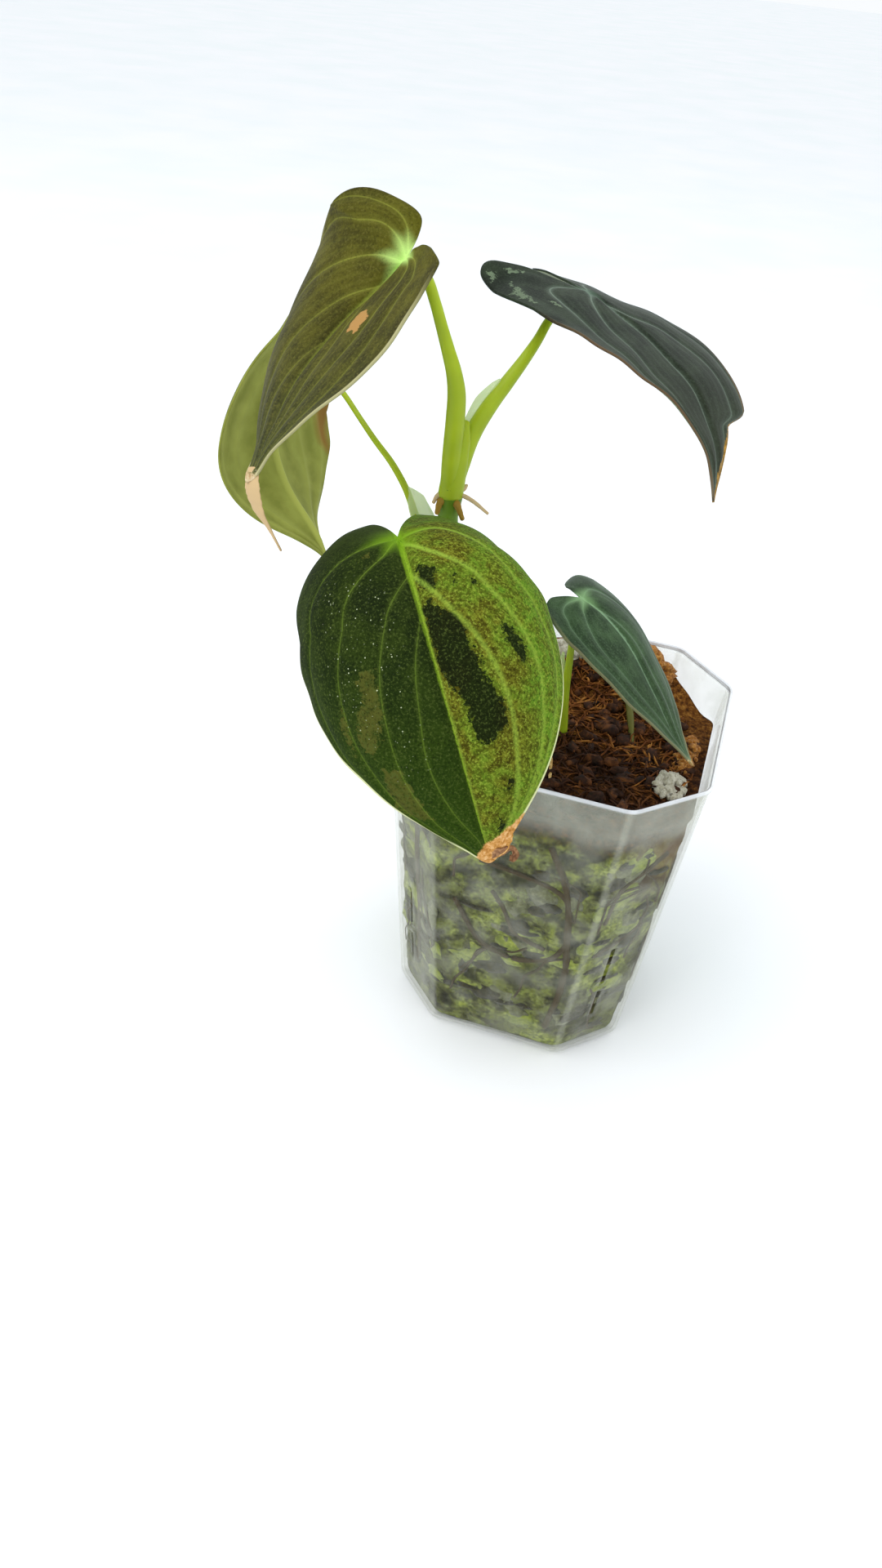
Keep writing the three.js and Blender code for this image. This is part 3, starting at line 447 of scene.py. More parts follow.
LEAVES["leaf_4"]["bronze"] = [
    [(0.33, 0.56), (0.4, 0.56), (0.45, 0.58), (0.44, 0.61), (0.52, 0.63), (0.62, 0.675),
     (0.58, 0.695), (0.5, 0.68), (0.42, 0.655), (0.36, 0.63), (0.35, 0.6)],
    [(0.46, 0.72), (0.58, 0.715), (0.72, 0.745), (0.83, 0.78), (0.92, 0.79), (0.8, 0.81),
     (0.62, 0.81), (0.53, 0.77)],
    [(0.29, 0.33), (0.34, 0.34), (0.36, 0.355), (0.31, 0.345)],
    [(0.62, 0.62), (0.7, 0.65), (0.74, 0.7), (0.66, 0.66)],
]
print("patches on leaf_4:", len(LEAVES["leaf_4"]["dark"]), "dark,", len(LEAVES["leaf_4"]["bronze"]), "bronze")

# %% [markdown]
# The fifth leaf is the young shoot's, small and nearly flat, low at the right.

# %% The blue-green leaf
LEAVES["leaf_5"] = {
    "midrib": [[-1.1, -0.9, 153.8], [15.4, -1.7, 149.8], [25.3, -13.6, 138],
               [30.5, -17.6, 130.5], [42.8, -26.5, 122]],
    "face": [[0.52, -0.09, 0.85], [0.72, -0.12, 0.8], [0.63, 0.1, 0.69]],
    "half_width": 21.3,
    "width": [[0.88, 1.02, 1.1, 1.06, 0.98], [0.93, 1, 1.06, 1.05, 0.99]],
    "lobe": [0.63, 0.65],
    "taper": -0.01,
    "bend": [-1.54, -0.11],
    "fold": [[0.08, 0.07, 0.01], [0.08, -0.28, 0.01]],
    "curl": [[-0.54, -0.8, -0.53], [0, -0.1, -0.04]],
    "veins": [
        [(0.3, 0.85, [0, 0.1, 0.17, 0.2, 0.3, 0.38]),
         (0.1, 0.8, [0.3, 0.5, 0.6, 0.66, 0.7, 0.7])],
        [(0.12, 0.82, [0.2, 0.36, 0.5, 0.56, 0.44, 0.22]),
         (0.1, 0.8, [0.5, 0.72, 0.78, 0.79, 0.74, 0.6])],
    ],
    "dry_from": 0.97,
}
print("leaf_5 midrib in mm:", round(midrib_table(LEAVES["leaf_5"])[1][-1]))

# %% [markdown]
# The veins of this kind of leaf leave the midrib near its base and run on in long arcs to the
# margin. Drawn one by one they would need a line of nodes each, so they become one smooth field over
# the blade instead: it is 0 at the midrib, 1 at the first vein, 2 at the second, and so on. Wherever
# the field is a whole number, the shader draws a vein.

# %% Vein field
LAST_VEIN_TO_MARGIN = 0.45


def vein_across(vein, along):
    start, end, values = vein
    return smooth_table(values, np.clip((along - start) / (end - start), 0, 1))


def vein_field(leaf, across, along):
    fields = []
    for veins in leaf["veins"]:
        between = [vein_across(vein, along) for vein in veins]
        lines = [np.zeros_like(along), *between, np.ones_like(along)]
        rises = [1.0] * len(veins) + [LAST_VEIN_TO_MARGIN]
        field = np.zeros_like(along)
        for low, high, rise in zip(lines, lines[1:], rises):
            field += rise * np.clip((np.abs(across) - low) / np.maximum(high - low, 1e-3), 0, 1)
        fields.append(field)
    return np.where(across > 0, fields[1], fields[0])


print("veins on each half:", {name: [len(v) for v in leaf["veins"]] for name, leaf in LEAVES.items()})

# %% [markdown]
# A vein should be as wide at the tip as at the base, but the field changes fast where veins crowd
# and slowly where they spread. So the blade also stores how steep the field is, per millimetre. The
# distance to a vein is then the field's distance to a whole number, divided by this steepness.

# %% Steepness of the field
SMALL_STEP = 2e-3
STEEPEST, SHALLOWEST = 3.0, 0.03


def flat_place(leaf, across, along):
    """Places on the flat blade in millimetres, out from the midrib and along it."""
    x, y, _ = flat_blade(leaf, across, along)
    return np.stack([x * leaf["half_width"], y * midrib_table(leaf)[1][-1]], -1)


def slopes(measure, leaf, across, along, step):
    """How a measure changes with across and with along, from small steps either way."""
    by_across = measure(leaf, across + step, along) - measure(leaf, across - step, along)
    by_along = measure(leaf, across, along + step) - measure(leaf, across, along - step)
    return by_across / (2 * step), by_along / (2 * step)


def field_steepness(leaf, across, along):
    inside = np.clip(np.abs(across), 2 * SMALL_STEP, 1 - 2 * SMALL_STEP) * np.sign(across)
    middle = np.clip(along, 0.02, 0.98)
    across_x, along_x = (slope.T for slope in slopes(flat_place, leaf, inside, middle, SMALL_STEP))
    field_across, field_along = slopes(vein_field, leaf, inside, middle, SMALL_STEP)
    area = across_x[0] * along_x[1] - across_x[1] * along_x[0]
    area = np.where(np.abs(area) < 1e-3, 1e-3, area)
    slope_x = (field_across * along_x[1] - field_along * across_x[1]) / area
    slope_y = (field_along * across_x[0] - field_across * along_x[0]) / area
    return np.clip(np.hypot(slope_x, slope_y), SHALLOWEST, STEEPEST)


half_way = np.array([0.5])
steepness = field_steepness(LEAVES["leaf_1"], half_way, half_way)[0]
print("veins a millimetre, half way out on leaf_1:", round(float(steepness), 3))

# %% [markdown]
# For the patches, the blade stores how deep inside the nearest patch each point lies, in
# millimetres. The shader adds noise to that depth and cuts it at zero, which gives a crisp, ragged
# edge of any size. Painting the patches onto an image would be the other way, but it needs a file.

# %% Depth inside patches
NO_PATCH = -9.0


def patch_depth(leaf, corners, across, along):
    """Distance in millimetres inside the outline through these (across, along) corners."""
    points = flat_place(leaf, across, along)
    outline = flat_place(leaf, *np.array(corners, float).T)
    nearest = np.full(len(points), 1e9)
    inside = np.zeros(len(points), bool)
    for a, b in zip(outline, np.roll(outline, -1, axis=0)):
        edge = b - a
        share = np.clip(((points - a) @ edge) / (edge @ edge), 0, 1)
        nearest = np.minimum(nearest, np.linalg.norm(points - a - share[:, None] * edge, axis=1))
        crosses = (a[1] > points[:, 1]) != (b[1] > points[:, 1])
        where = a[0] + (points[:, 1] - a[1]) * edge[0] / (edge[1] if edge[1] else 1e-9)
        inside ^= crosses & (points[:, 0] < where)
    return np.where(inside, nearest, -nearest)


def deepest(leaf, patches, across, along):
    depth = np.full(len(across), NO_PATCH)
    for corners in patches:
        depth = np.maximum(depth, patch_depth(leaf, corners, across, along))
    return depth


sore_spot = LEAVES["leaf_1"]["scar"]
sore_depth = deepest(LEAVES["leaf_1"], sore_spot, np.array([-0.3]), np.array([0.51]))
print("depth inside the sore spot of leaf_1, in mm:", round(float(sore_depth[0]), 2))

# %% [markdown]
# A living blade is a thin sheet that quilts: it sinks along its veins and swells between them, and
# its margin ripples a little. The relief is a height over the smooth blade in millimetres, and the
# blade's own directions, found by small steps either way, say which way that height points.

# %% Relief of a blade
VEIN_GROOVE, VEIN_GROOVE_WIDTH = 0.24, 0.9
MIDRIB_GROOVE, MIDRIB_GROOVE_WIDTH = 0.5, 1.2
RIPPLE = 0.14
QUILT = 0.16
CRUMPLE, CRUMPLE_SIZE = 0.25, 8
FLAT_MARGIN = 6
NORMAL_STEP = 4e-3


def unevenness(x, y, size):
    """A gentle up and down from -1 to 1, with swells about three sizes apart."""
    first = np.sin((x + y * 0.45) / size + 0.6) * np.cos((y * 1.1 - x * 0.3) / size)
    return 0.6 * first + 0.4 * np.sin((x * 0.7 - y * 1.3) / (size * 0.52) + 2.1)


def blade_relief(leaf, measures):
    across, along, field = measures["across"], measures["along"], measures["vein"]
    to_vein = np.abs((field + 0.5) % 1 - 0.5) / measures["vein_steepness"]
    to_midrib = np.abs(across) * measures["reach"]
    lift = -VEIN_GROOVE * np.exp(-((to_vein / VEIN_GROOVE_WIDTH) ** 2))
    lift -= MIDRIB_GROOVE * np.exp(-((to_midrib / MIDRIB_GROOVE_WIDTH) ** 2))
    ripple = np.sin(along * 31 + 2.0 * across) + 0.6 * np.sin(along * 57 + 1.3)
    lift += RIPPLE * np.abs(across) ** 4 * ripple + QUILT * np.sin(np.pi * field) ** 2
    out, up = flat_place(leaf, across, along).T
    lift += leaf.get("crumple", CRUMPLE) * unevenness(out, up, CRUMPLE_SIZE)
    return lift * np.clip(measures["reach"] / FLAT_MARGIN, 0, 1)


def blade_normals(leaf, across, along):
    inner = np.clip(along, 2 * NORMAL_STEP, 1 - 2 * NORMAL_STEP)
    inside = np.clip(across, NORMAL_STEP - 1, 1 - NORMAL_STEP)
    return unit(np.cross(*slopes(blade_points, leaf, inside, inner, NORMAL_STEP)))


normal = blade_normals(LEAVES["leaf_5"], half_way, half_way)[0]
print("leaf_5 faces:", [round(float(v), 2) for v in normal])

# %% [markdown]
# A fine grid takes all of that. Its calculated UVs aren't needed here, because the blade stores its
# own measures on its vertices, where the shader reads them. A Solidify modifier gives the sheet its
# thickness, and its new faces below get the second material, the paler underside.

# %% Build a blade
BLADE_COLUMNS, BLADE_ROWS = 120, 150
BLADE_THICKNESS = 0.55
STALK_JOINT = 0.01
MERGE = 1e-6
FIELDS = ("vein", "vein_steepness", "reach", "from_base", "dark", "bronze", "scar", "dry", "across", "along")


def grid_places(shape, columns, rows):
    """A fresh grid's vertices with their places across and along it, both from 0 to 1."""
    made = bmesh.ops.create_grid(shape, x_segments=columns, y_segments=rows, size=1.0, calc_uvs=True)
    flat = np.array([v.co[:2] for v in made["verts"]])
    return made["verts"], (flat[:, 0] + 1) / 2, (flat[:, 1] + 1) / 2


def place_verts(verts, points):
    for vert, point in zip(verts, points.tolist()):
        vert.co = point


def blade_measures(leaf, across, along):
    """What the shader has to know at each point: lengths in millimetres, places as shares."""
    length = midrib_table(leaf)[1][-1]
    out, up = flat_place(leaf, across, along).T
    measures = {kind: deepest(leaf, leaf.get(kind, ()), across, along) for kind in ("dark", "bronze", "scar")}
    measures.update({
        "vein": vein_field(leaf, across, along),
        "vein_steepness": field_steepness(leaf, across, along),
        "reach": flat_blade(leaf, across, along)[2] * leaf["half_width"],
        "from_base": np.hypot(out, up - STALK_JOINT * length),
        "dry": (along - leaf["dry_from"] - leaf.get("dry_slant", 0.0) * across) * length,
        "across": across,
        "along": along,
    })
    return measures


def build_blade(name, leaf, materials):
    shape = bmesh.new()
    for label in FIELDS:
        shape.verts.layers.float.new(label)
    verts, share, along = grid_places(shape, BLADE_COLUMNS, BLADE_ROWS)
    across = 2 * share - 1
    measures = blade_measures(leaf, across, along)
    lift = blade_normals(leaf, across, along) * blade_relief(leaf, measures)[:, None]
    place_verts(verts, (blade_points(leaf, across, along) + lift) * MM)
    for label in FIELDS:
        layer = shape.verts.layers.float[label]
        for vert, number in zip(verts, measures[label].tolist()):
            vert[layer] = number
    bmesh.ops.remove_doubles(shape, verts=shape.verts[:], dist=MERGE)
    blade = make_piece(name + "_blade", shape, materials, [name])
    wall = blade.modifiers.new("thickness", "SOLIDIFY")
    wall.thickness = BLADE_THICKNESS * MM
    wall.offset = 0
    wall.material_offset = 1
    wall.material_offset_rim = leaf.get("rim", 0)


print("measures on each blade:", len(FIELDS))

# %% [markdown]
# Blade skin, upper side: the leaf of this plant is velvety. Tiny domed cells catch light from all
# sides, so the blade glows softly at grazing angles instead of shining, which is what sheen does in
# the shader. The grain of the cells is drawn at 0.6 mm, coarser than life, so that it shows. First
# the shader gets its measures: the blade's stored ones, three noises, and distances from the midrib
# and the margin in millimetres.

# %% Measures for the blade's skin
CELL_GRAIN, MOTTLE_GRAIN, CLOUD_GRAIN = 0.6, 1.5, 8
RAGGED = 8.0


def skin_measures(tree):
    at = {label: add(tree, "Attribute", attribute_name=label, out="Fac") for label in FIELDS}
    place = add(tree, "TexCoord", out="Object")
    at["grain"] = add(tree, "TexNoise", place, Scale=1 / (CELL_GRAIN * MM), Detail=3, Roughness=0.7)
    at["mottle"] = add(tree, "TexNoise", place, Scale=1 / (MOTTLE_GRAIN * MM), Detail=5, Roughness=0.75)
    at["clouds"] = add(tree, "TexNoise", place, Scale=1 / (CLOUD_GRAIN * MM), Detail=3, Roughness=0.55)
    outwards = add(tree, "Math", at["across"], operation="ABSOLUTE")
    inwards = add(tree, "Math", 1.0, outwards, operation="SUBTRACT")
    at["to_middle"] = add(tree, "Math", outwards, at["reach"], **TIMES)
    at["to_margin"] = add(tree, "Math", inwards, at["reach"], **TIMES)
    centred = add(tree, "Math", at["mottle"], 0.5, operation="SUBTRACT")
    at["ragged"] = add(tree, "Math", centred, RAGGED, **TIMES)
    at["left_half"] = add(tree, "MapRange", at["across"], 0.004, -0.004, **SMOOTH)
    return at


print("grains of a blade in mm:", CELL_GRAIN, MOTTLE_GRAIN, CLOUD_GRAIN)

# %% [markdown]
# The ground colour drifts between a deep and a pale green in soft clouds, and changes once more
# towards the tip and the lobes. The variegated leaf has a left half of its own: olive and lime in
# small flecks, turning green towards the margin.

# %% Ground colour of a blade


def blade_ground(tree, look, at):
    cloudy = add(tree, "MapRange", at["clouds"], 0.38, 0.64, **SMOOTH)
    body = add(tree, "MixRGB", cloudy, look["deep"], look["pale"])
    towards_tip = add(tree, "MapRange", at["along"], 0.45, 0.95, **SMOOTH)
    body = add(tree, "MixRGB", towards_tip, body, look["tip"])
    if "lobe" in look:
        towards_lobe = add(tree, "MapRange", at["along"], 0.42, 0.12, 0.0, 0.8, **SMOOTH)
        body = add(tree, "MixRGB", towards_lobe, body, look["lobe"])
    return body


def pale_half(tree, look, at, body):
    olive, lime, green = look["left"]
    flecked = add(tree, "MapRange", at["mottle"], 0.46, 0.56, **SMOOTH)
    left = add(tree, "MixRGB", flecked, olive, lime)
    near_margin = add(tree, "MapRange", at["across"], -0.35, -0.85, **SMOOTH)
    cloudy = add(tree, "MapRange", at["clouds"], 0.42, 0.62, 0.0, 0.8, **SMOOTH)
    outer = add(tree, "Math", near_margin, cloudy, **PLUS)
    spotted = add(tree, "MapRange", at["mottle"], 0.4, 0.6, 0.3, 0.9, **SMOOTH)
    amount = add(tree, "Math", outer, spotted, **TIMES)
    left = add(tree, "MixRGB", amount, left, green)
    return add(tree, "MixRGB", at["left_half"], body, left)


print("a blade's ground has 2 to 4 colours, and its pale half 3 more")

# %% [markdown]
# Patches are cut from the stored depth. Noise moves their edge by up to a few millimetres, and a
# narrow soft step keeps it crisp. The bronze ones are mottled, so the green shows through them.

# %% Patches on a blade
PATCH_EDGE = 0.15


def blade_patches(tree, look, at, body):
    edge = add(tree, "Math", at["bronze"], at["ragged"], **PLUS)
    inside = add(tree, "MapRange", edge, -PATCH_EDGE, PATCH_EDGE, **SMOOTH)
    mottled = add(tree, "MapRange", at["mottle"], 0.35, 0.55, 0.25, look["bronze_strength"], **SMOOTH)
    amount = add(tree, "Math", inside, mottled, **TIMES)
    body = add(tree, "MixRGB", amount, body, look["bronze"])
    edge = add(tree, "Math", at["dark"], at["ragged"], **PLUS)
    at["in_dark"] = add(tree, "MapRange", edge, -PATCH_EDGE, PATCH_EDGE, **SMOOTH)
    amount = add(tree, "Math", at["in_dark"], 0.95, **TIMES)
    return add(tree, "MixRGB", amount, body, look["dark"])


print("soft edge of a patch in mm:", 2 * PATCH_EDGE)

# %% [markdown]
# Veins are paler than the blade, because the skin over them is thin. Each is a narrow line in a wide
# soft halo, and both fade away from the stalk. Between two of them run four very fine ones, from a
# cosine of the same field. The midrib starts wide and thins towards the tip.

# %% Veins on a blade
FINE_VEINS = 4
VEIN_CORE = 0.1
MIDRIB_AT_TIP = 0.3


def side_veins(tree, look, at, body):
    turns = add(tree, "Math", at["vein"], 2 * math.pi * FINE_VEINS, **TIMES)
    wave = add(tree, "Math", turns, operation="COSINE")
    crest = add(tree, "MapRange", wave, -1, 1, **SMOOTH)
    at["fine"] = add(tree, "Math", crest, 3.0, operation="POWER")
    amount = add(tree, "Math", at["fine"], look["fine"], **TIMES)
    body = add(tree, "MixRGB", amount, body, look["vein"])
    shifted = add(tree, "Math", at["vein"], 0.5, **PLUS)
    share = add(tree, "Math", shifted, operation="FRACT")
    folded = add(tree, "Math", share, 0.5, operation="SUBTRACT")
    away = add(tree, "Math", folded, operation="ABSOLUTE")
    at["to_vein"] = add(tree, "Math", away, at["vein_steepness"], operation="DIVIDE")
    rough = add(tree, "Math", at["ragged"], 0.15, **TIMES)
    uneven = add(tree, "Math", at["to_vein"], rough, **PLUS)
    halo = add(tree, "MapRange", uneven, look["halo_width"], 0.0, 0.0, look["halo"], **SMOOTH)
    if "left" in look:
        kept = add(tree, "MapRange", at["left_half"], 0, 1, 0.12, 1.0, **SMOOTH)
        halo = add(tree, "Math", halo, kept, **TIMES)
    width, strength = look["vein_width"], look["vein_strength"]
    line = add(tree, "MapRange", at["to_vein"], width, VEIN_CORE, 0.0, strength, **SMOOTH)
    vein = add(tree, "Math", halo, line, operation="MAXIMUM")
    amount = add(tree, "Math", vein, at["near_stalk"], **TIMES)
    return add(tree, "MixRGB", amount, body, look["vein"])


def middle_vein(tree, look, at, body):
    width = add(tree, "MapRange", at["from_base"], 6, 60, look["midrib_width"], MIDRIB_AT_TIP, **SMOOTH)
    rough = add(tree, "Math", at["ragged"], 0.12, **TIMES)
    uneven = add(tree, "Math", at["to_middle"], rough, **PLUS)
    share = add(tree, "Math", uneven, width, operation="DIVIDE")
    midrib = add(tree, "MapRange", share, 1.0, 0.3, 0.0, look["midrib_strength"], **SMOOTH)
    amount = add(tree, "Math", midrib, at["near_stalk"], **TIMES)
    return add(tree, "MixRGB", amount, body, look["midrib"])


print("fine veins between two veins:", FINE_VEINS)

# %% [markdown]
# Where the stalk joins, backlight shining through the blade is painted on as a lime glow, reaching
# out further along the veins. Over all of it lie the cells, each with a painted lit side and a painted
# shaded one. They are paler on the pale half, except on its dark patches.

# %% Painted backlight glow and cells
GLOW_BESIDE_VEIN = 2.5
GLOW_RAYS = 1.6


def painted_backlight_glow(tree, look, at, body):
    # Painted backlight: a lime glow near the stalk, laid on as colour and lit by no lamp
    nearest = add(tree, "Math", at["to_vein"], at["to_middle"], operation="MINIMUM")
    beside = add(tree, "Math", nearest, GLOW_BESIDE_VEIN, operation="MINIMUM")
    further = add(tree, "Math", beside, GLOW_RAYS, **TIMES)
    rayed = add(tree, "Math", at["from_base"], further, **PLUS)
    at["glow"] = add(tree, "MapRange", rayed, look["glow_reach"], 0.0, **SMOOTH)
    amount = add(tree, "Math", at["glow"], look["glow_strength"], **TIMES)
    return add(tree, "MixRGB", amount, body, look["glow"])


def velvet_cells(tree, look, at, body):
    outside_glow = add(tree, "MapRange", at["glow"], 0.0, 0.7, 1.0, 0.2, **SMOOTH)
    strength = add(tree, "Math", outside_glow, look["speckle"], **TIMES)
    lit_colour = look["speck"]
    if "left" in look:
        not_dark = add(tree, "Math", 1.0, at["in_dark"], operation="SUBTRACT")
        pale = add(tree, "Math", at["left_half"], not_dark, **TIMES)
        lit_colour = add(tree, "MixRGB", pale, look["speck"], look["left_speck"])
    # Painted highlight and painted shade on the cells: high grain takes the lit colour, low grain the shade
    lit = add(tree, "MapRange", at["grain"], 0.52, 0.66, **SMOOTH)
    amount = add(tree, "Math", lit, strength, **TIMES)
    body = add(tree, "MixRGB", amount, body, lit_colour)
    shaded = add(tree, "MapRange", at["grain"], 0.48, 0.3, **SMOOTH)
    amount = add(tree, "Math", shaded, strength, **TIMES)
    return add(tree, "MixRGB", amount, body, look["shade"])


print("the glow reaches", GLOW_BESIDE_VEIN * GLOW_RAYS, "mm further along a vein")

# %% [markdown]
# A thin pale rim runs along the margin, sore spots and the tip have dried to husk, and on the large
# front leaf pale dust lies in fine dots. These go on last, because they lie over the living colours.

# %% Edges of a blade
MARGIN_WIDTH = 1.0
DUST_SPACING = 1.1
DUST_COLOUR = "#cdd6b0"
HUSK_PLACES = (0.35, 0.5, 0.65)


def dry_edges(tree, look, at, body):
    at_margin = add(tree, "MapRange", at["to_margin"], MARGIN_WIDTH, MARGIN_WIDTH / 2, **SMOOTH)
    start = look["margin_from"]
    beyond = add(tree, "MapRange", at["along"], start, start + 0.2, **SMOOTH)
    margin = add(tree, "Math", at_margin, beyond, **TIMES)
    amount = add(tree, "Math", margin, look["margin_strength"], **TIMES)
    body = add(tree, "MixRGB", amount, body, look["margin"])
    rough = add(tree, "Math", at["ragged"], 0.4, **TIMES)
    edge = add(tree, "Math", at["scar"], rough, **PLUS)
    sore = add(tree, "MapRange", edge, -PATCH_EDGE, PATCH_EDGE, **SMOOTH)
    return add(tree, "MixRGB", sore, body, look["scar"])


def pale_dust(tree, look, at, body):
    place = add(tree, "TexCoord", out="Object")
    dots = add(tree, "TexVoronoi", place, Scale=1 / (DUST_SPACING * MM), out="Distance")
    dotted = add(tree, "MapRange", dots, 0.2, 0.1, **SMOOTH)
    where = add(tree, "MapRange", at["mottle"], 0.5, 0.56, 0.0, look["dust"], **SMOOTH)
    for measure, start, end in (("across", 0.12, 0.25), ("across", 0.75, 0.5),
                                ("along", 0.35, 0.45), ("along", 0.8, 0.6)):
        within = add(tree, "MapRange", at[measure], start, end, **SMOOTH)
        where = add(tree, "Math", where, within, **TIMES)
    amount = add(tree, "Math", dotted, where, **TIMES)
    return add(tree, "MixRGB", amount, body, DUST_COLOUR)


def dry_tip(tree, look, at, body):
    husk = add(tree, "ValToRGB", at["mottle"], stops=list(zip(HUSK_PLACES, look["dry"])))
    rough = add(tree, "Math", at["ragged"], 0.6, **TIMES)
    edge = add(tree, "Math", at["dry"], rough, **PLUS)
    dried = add(tree, "MapRange", edge, -0.5, 0.7, **SMOOTH)
    return add(tree, "MixRGB", dried, body, husk)


print("dust dots are", DUST_SPACING, "mm apart")

# %% [markdown]
# The layers are put on in the order in which they lie on the leaf. Sheen gives the soft bloom of
# velvet, low specular keeps the blade from shining, and a fine bump lets the cells catch light.

# %% Upper side of a blade
CELL_HEIGHT = 0.15
FINE_VEIN_DEPTH = -0.4


def velvet_blade(name, look):
    # Living leaf skin with domed cells: matt and soft, with a faint bloom where it turns away
    material, tree, shader = new_material(
        name, Roughness=look["rough"], Sheen_Weight=look["sheen"], Sheen_Roughness=0.4,
        Sheen_Tint=look["sheen_tint"], Specular_IOR_Level=look["gloss"])
    at = skin_measures(tree)
    at["near_stalk"] = add(tree, "MapRange", at["from_base"], 30, 4, look["far"], 1.0, **SMOOTH)
    body = blade_ground(tree, look, at)
    if "left" in look:
        body = pale_half(tree, look, at, body)
    layers = [blade_patches, side_veins, middle_vein, painted_backlight_glow, velvet_cells, dry_edges]
    if "dust" in look:
        layers.append(pale_dust)
    for layer in [*layers, dry_tip]:
        body = layer(tree, look, at, body)
    grooves = add(tree, "Math", at["fine"], FINE_VEIN_DEPTH, **TIMES)
    height = add(tree, "Math", at["grain"], grooves, **PLUS)
    bump = add(tree, "Bump", Height=height, Strength=0.4, Distance=CELL_HEIGHT * MM)
    fill(tree, shader, {"Base Color": body, "Normal": bump})
    return material


print("cells stand", CELL_HEIGHT, "mm high at most")

# %% [markdown]
# The looks of the five upper sides. What most leaves share is set once, and each leaf then adds its
# own colours. Widths and reaches are in millimetres, strengths are shares of a colour. The first
# leaf is olive bronze with lime veins, the second slate green with grey ones.

# %% Looks of the olive and slate leaves
SHARED_LOOK = {
    "rough": 0.6, "gloss": 0.06, "sheen": 0.1, "sheen_tint": "#a3a08a",
    "dark": "#2c3017", "bronze": "#4e4b12", "bronze_strength": 0.5, "scar": "#c9a066", "far": 0.5,
}
LOOKS = {
    "leaf_1": {
        **SHARED_LOOK, "deep": "#36330a", "pale": "#4e4b12", "tip": "#353823", "lobe": "#55540c",
        "shade": "#1d1c07", "speck": "#67632c", "speckle": 0.5,
        "vein": "#999f40", "vein_width": 0.45, "vein_strength": 0.45,
        "halo": 0.16, "halo_width": 1.8, "fine": 0.05,
        "midrib": "#7f8a34", "midrib_width": 1.1, "midrib_strength": 0.8,
        "glow": "#c2ea84", "glow_reach": 10.0, "glow_strength": 1.0,
        "margin": "#bcb888", "margin_from": 0.4, "margin_strength": 0.8,
        "scar": "#a98048", "dry": ["#a9845a", "#c9b48c", "#ddd0b4"],
    },
    "leaf_2": {
        **SHARED_LOOK, "deep": "#151d12", "pale": "#283223", "tip": "#222816",
        "bronze": "#7d9072", "bronze_strength": 0.6,
        "shade": "#0c110b", "speck": "#3b4838", "speckle": 0.45,
        "vein": "#7f9080", "vein_width": 0.5, "vein_strength": 0.6,
        "halo": 0.22, "halo_width": 1.6, "far": 0.6, "fine": 0.03,
        "midrib": "#6f7e70", "midrib_width": 0.9, "midrib_strength": 0.8,
        "glow": "#5f7464", "glow_reach": 8.0, "glow_strength": 0.7,
        "margin": "#7d6248", "margin_from": 0.4, "margin_strength": 0.5,
        "dry": ["#4c3b14", "#9a7426", "#c4974a"],
        "sheen": 0.12, "sheen_tint": "#8c9a90", "rough": 0.45,
    },
}
print("looks so far:", list(LOOKS))

# %% [markdown]
# The large front leaf is dark green with a pale left half, lime veins and a cream rim. It has hardly
# any sheen, because it hangs steeply and the light falls flat on it.

# %% Look of the variegated leaf
LOOKS["leaf_4"] = {
    **SHARED_LOOK, "deep": "#19240a", "pale": "#26330d", "tip": "#2a4009", "lobe": "#3a4c18",
    "left": ["#45420c", "#686a1c", "#5c7f20"], "left_speck": "#93a63c",
    "dark": "#0f1706", "bronze": "#50521f", "bronze_strength": 0.85,
    "shade": "#0a0f05", "speck": "#4a5726", "speckle": 0.65,
    "vein": "#9aba44", "vein_width": 0.3, "vein_strength": 0.34,
    "halo": 0.85, "halo_width": 1.2, "fine": 0.0,
    "midrib": "#86ab24", "midrib_width": 1.25, "midrib_strength": 0.85,
    "glow": "#7aa61e", "glow_reach": 14.0, "glow_strength": 0.85,
    "margin": "#dde0ac", "margin_from": 0.5, "margin_strength": 0.9,
    "dry": ["#9a6428", "#cc9450", "#e8c08a"], "dust": 0.8,
    "sheen": 0.02, "sheen_tint": "#a8b08a", "gloss": 0.04, "rough": 0.75,
}
print("colours on the pale half:", LOOKS["leaf_4"]["left"])

# %% [markdown]
# The third leaf shows its upper side only at its curled edge, in sage green. The young one is blue
# green and a little shinier than the rest.

# %% Looks of the sage and blue-green leaves
LOOKS["leaf_3"] = {
    **SHARED_LOOK, "deep": "#4b5526", "pale": "#5d6a30", "tip": "#6c7a38",
    "shade": "#2f3816", "speck": "#727d3e", "speckle": 0.4,
    "vein": "#a4ad62", "vein_width": 0.5, "vein_strength": 0.5,
    "halo": 0.2, "halo_width": 1.6, "far": 0.6, "fine": 0.06,
    "midrib": "#a4ad62", "midrib_width": 1.0, "midrib_strength": 0.8,
    "glow": "#b4cf62", "glow_reach": 8.0, "glow_strength": 0.8,
    "margin": "#9a9460", "margin_from": 0.2, "margin_strength": 0.3,
    "scar": "#a86a2c", "dry": ["#8a5a2a", "#d9924a", "#e8c79a"],
}
LOOKS["leaf_5"] = {
    **SHARED_LOOK, "deep": "#263a22", "pale": "#3a5233", "tip": "#2f4226",
    "shade": "#17240f", "speck": "#587250", "speckle": 0.4,
    "vein": "#86a682", "vein_width": 0.35, "vein_strength": 0.45,
    "halo": 0.2, "halo_width": 1.4, "fine": 0.03,
    "midrib": "#98ba96", "midrib_width": 0.8, "midrib_strength": 0.7,
    "glow": "#8fb880", "glow_reach": 10.0, "glow_strength": 0.75,
    "margin": "#a39a72", "margin_from": 0.3, "margin_strength": 0.4,
    "dry": ["#8a6a3a", "#b99a62", "#d8c49a"],
    "sheen_tint": "#9fb8a8", "gloss": 0.08, "rough": 0.45,
}
print("all looks:", sorted(LOOKS))

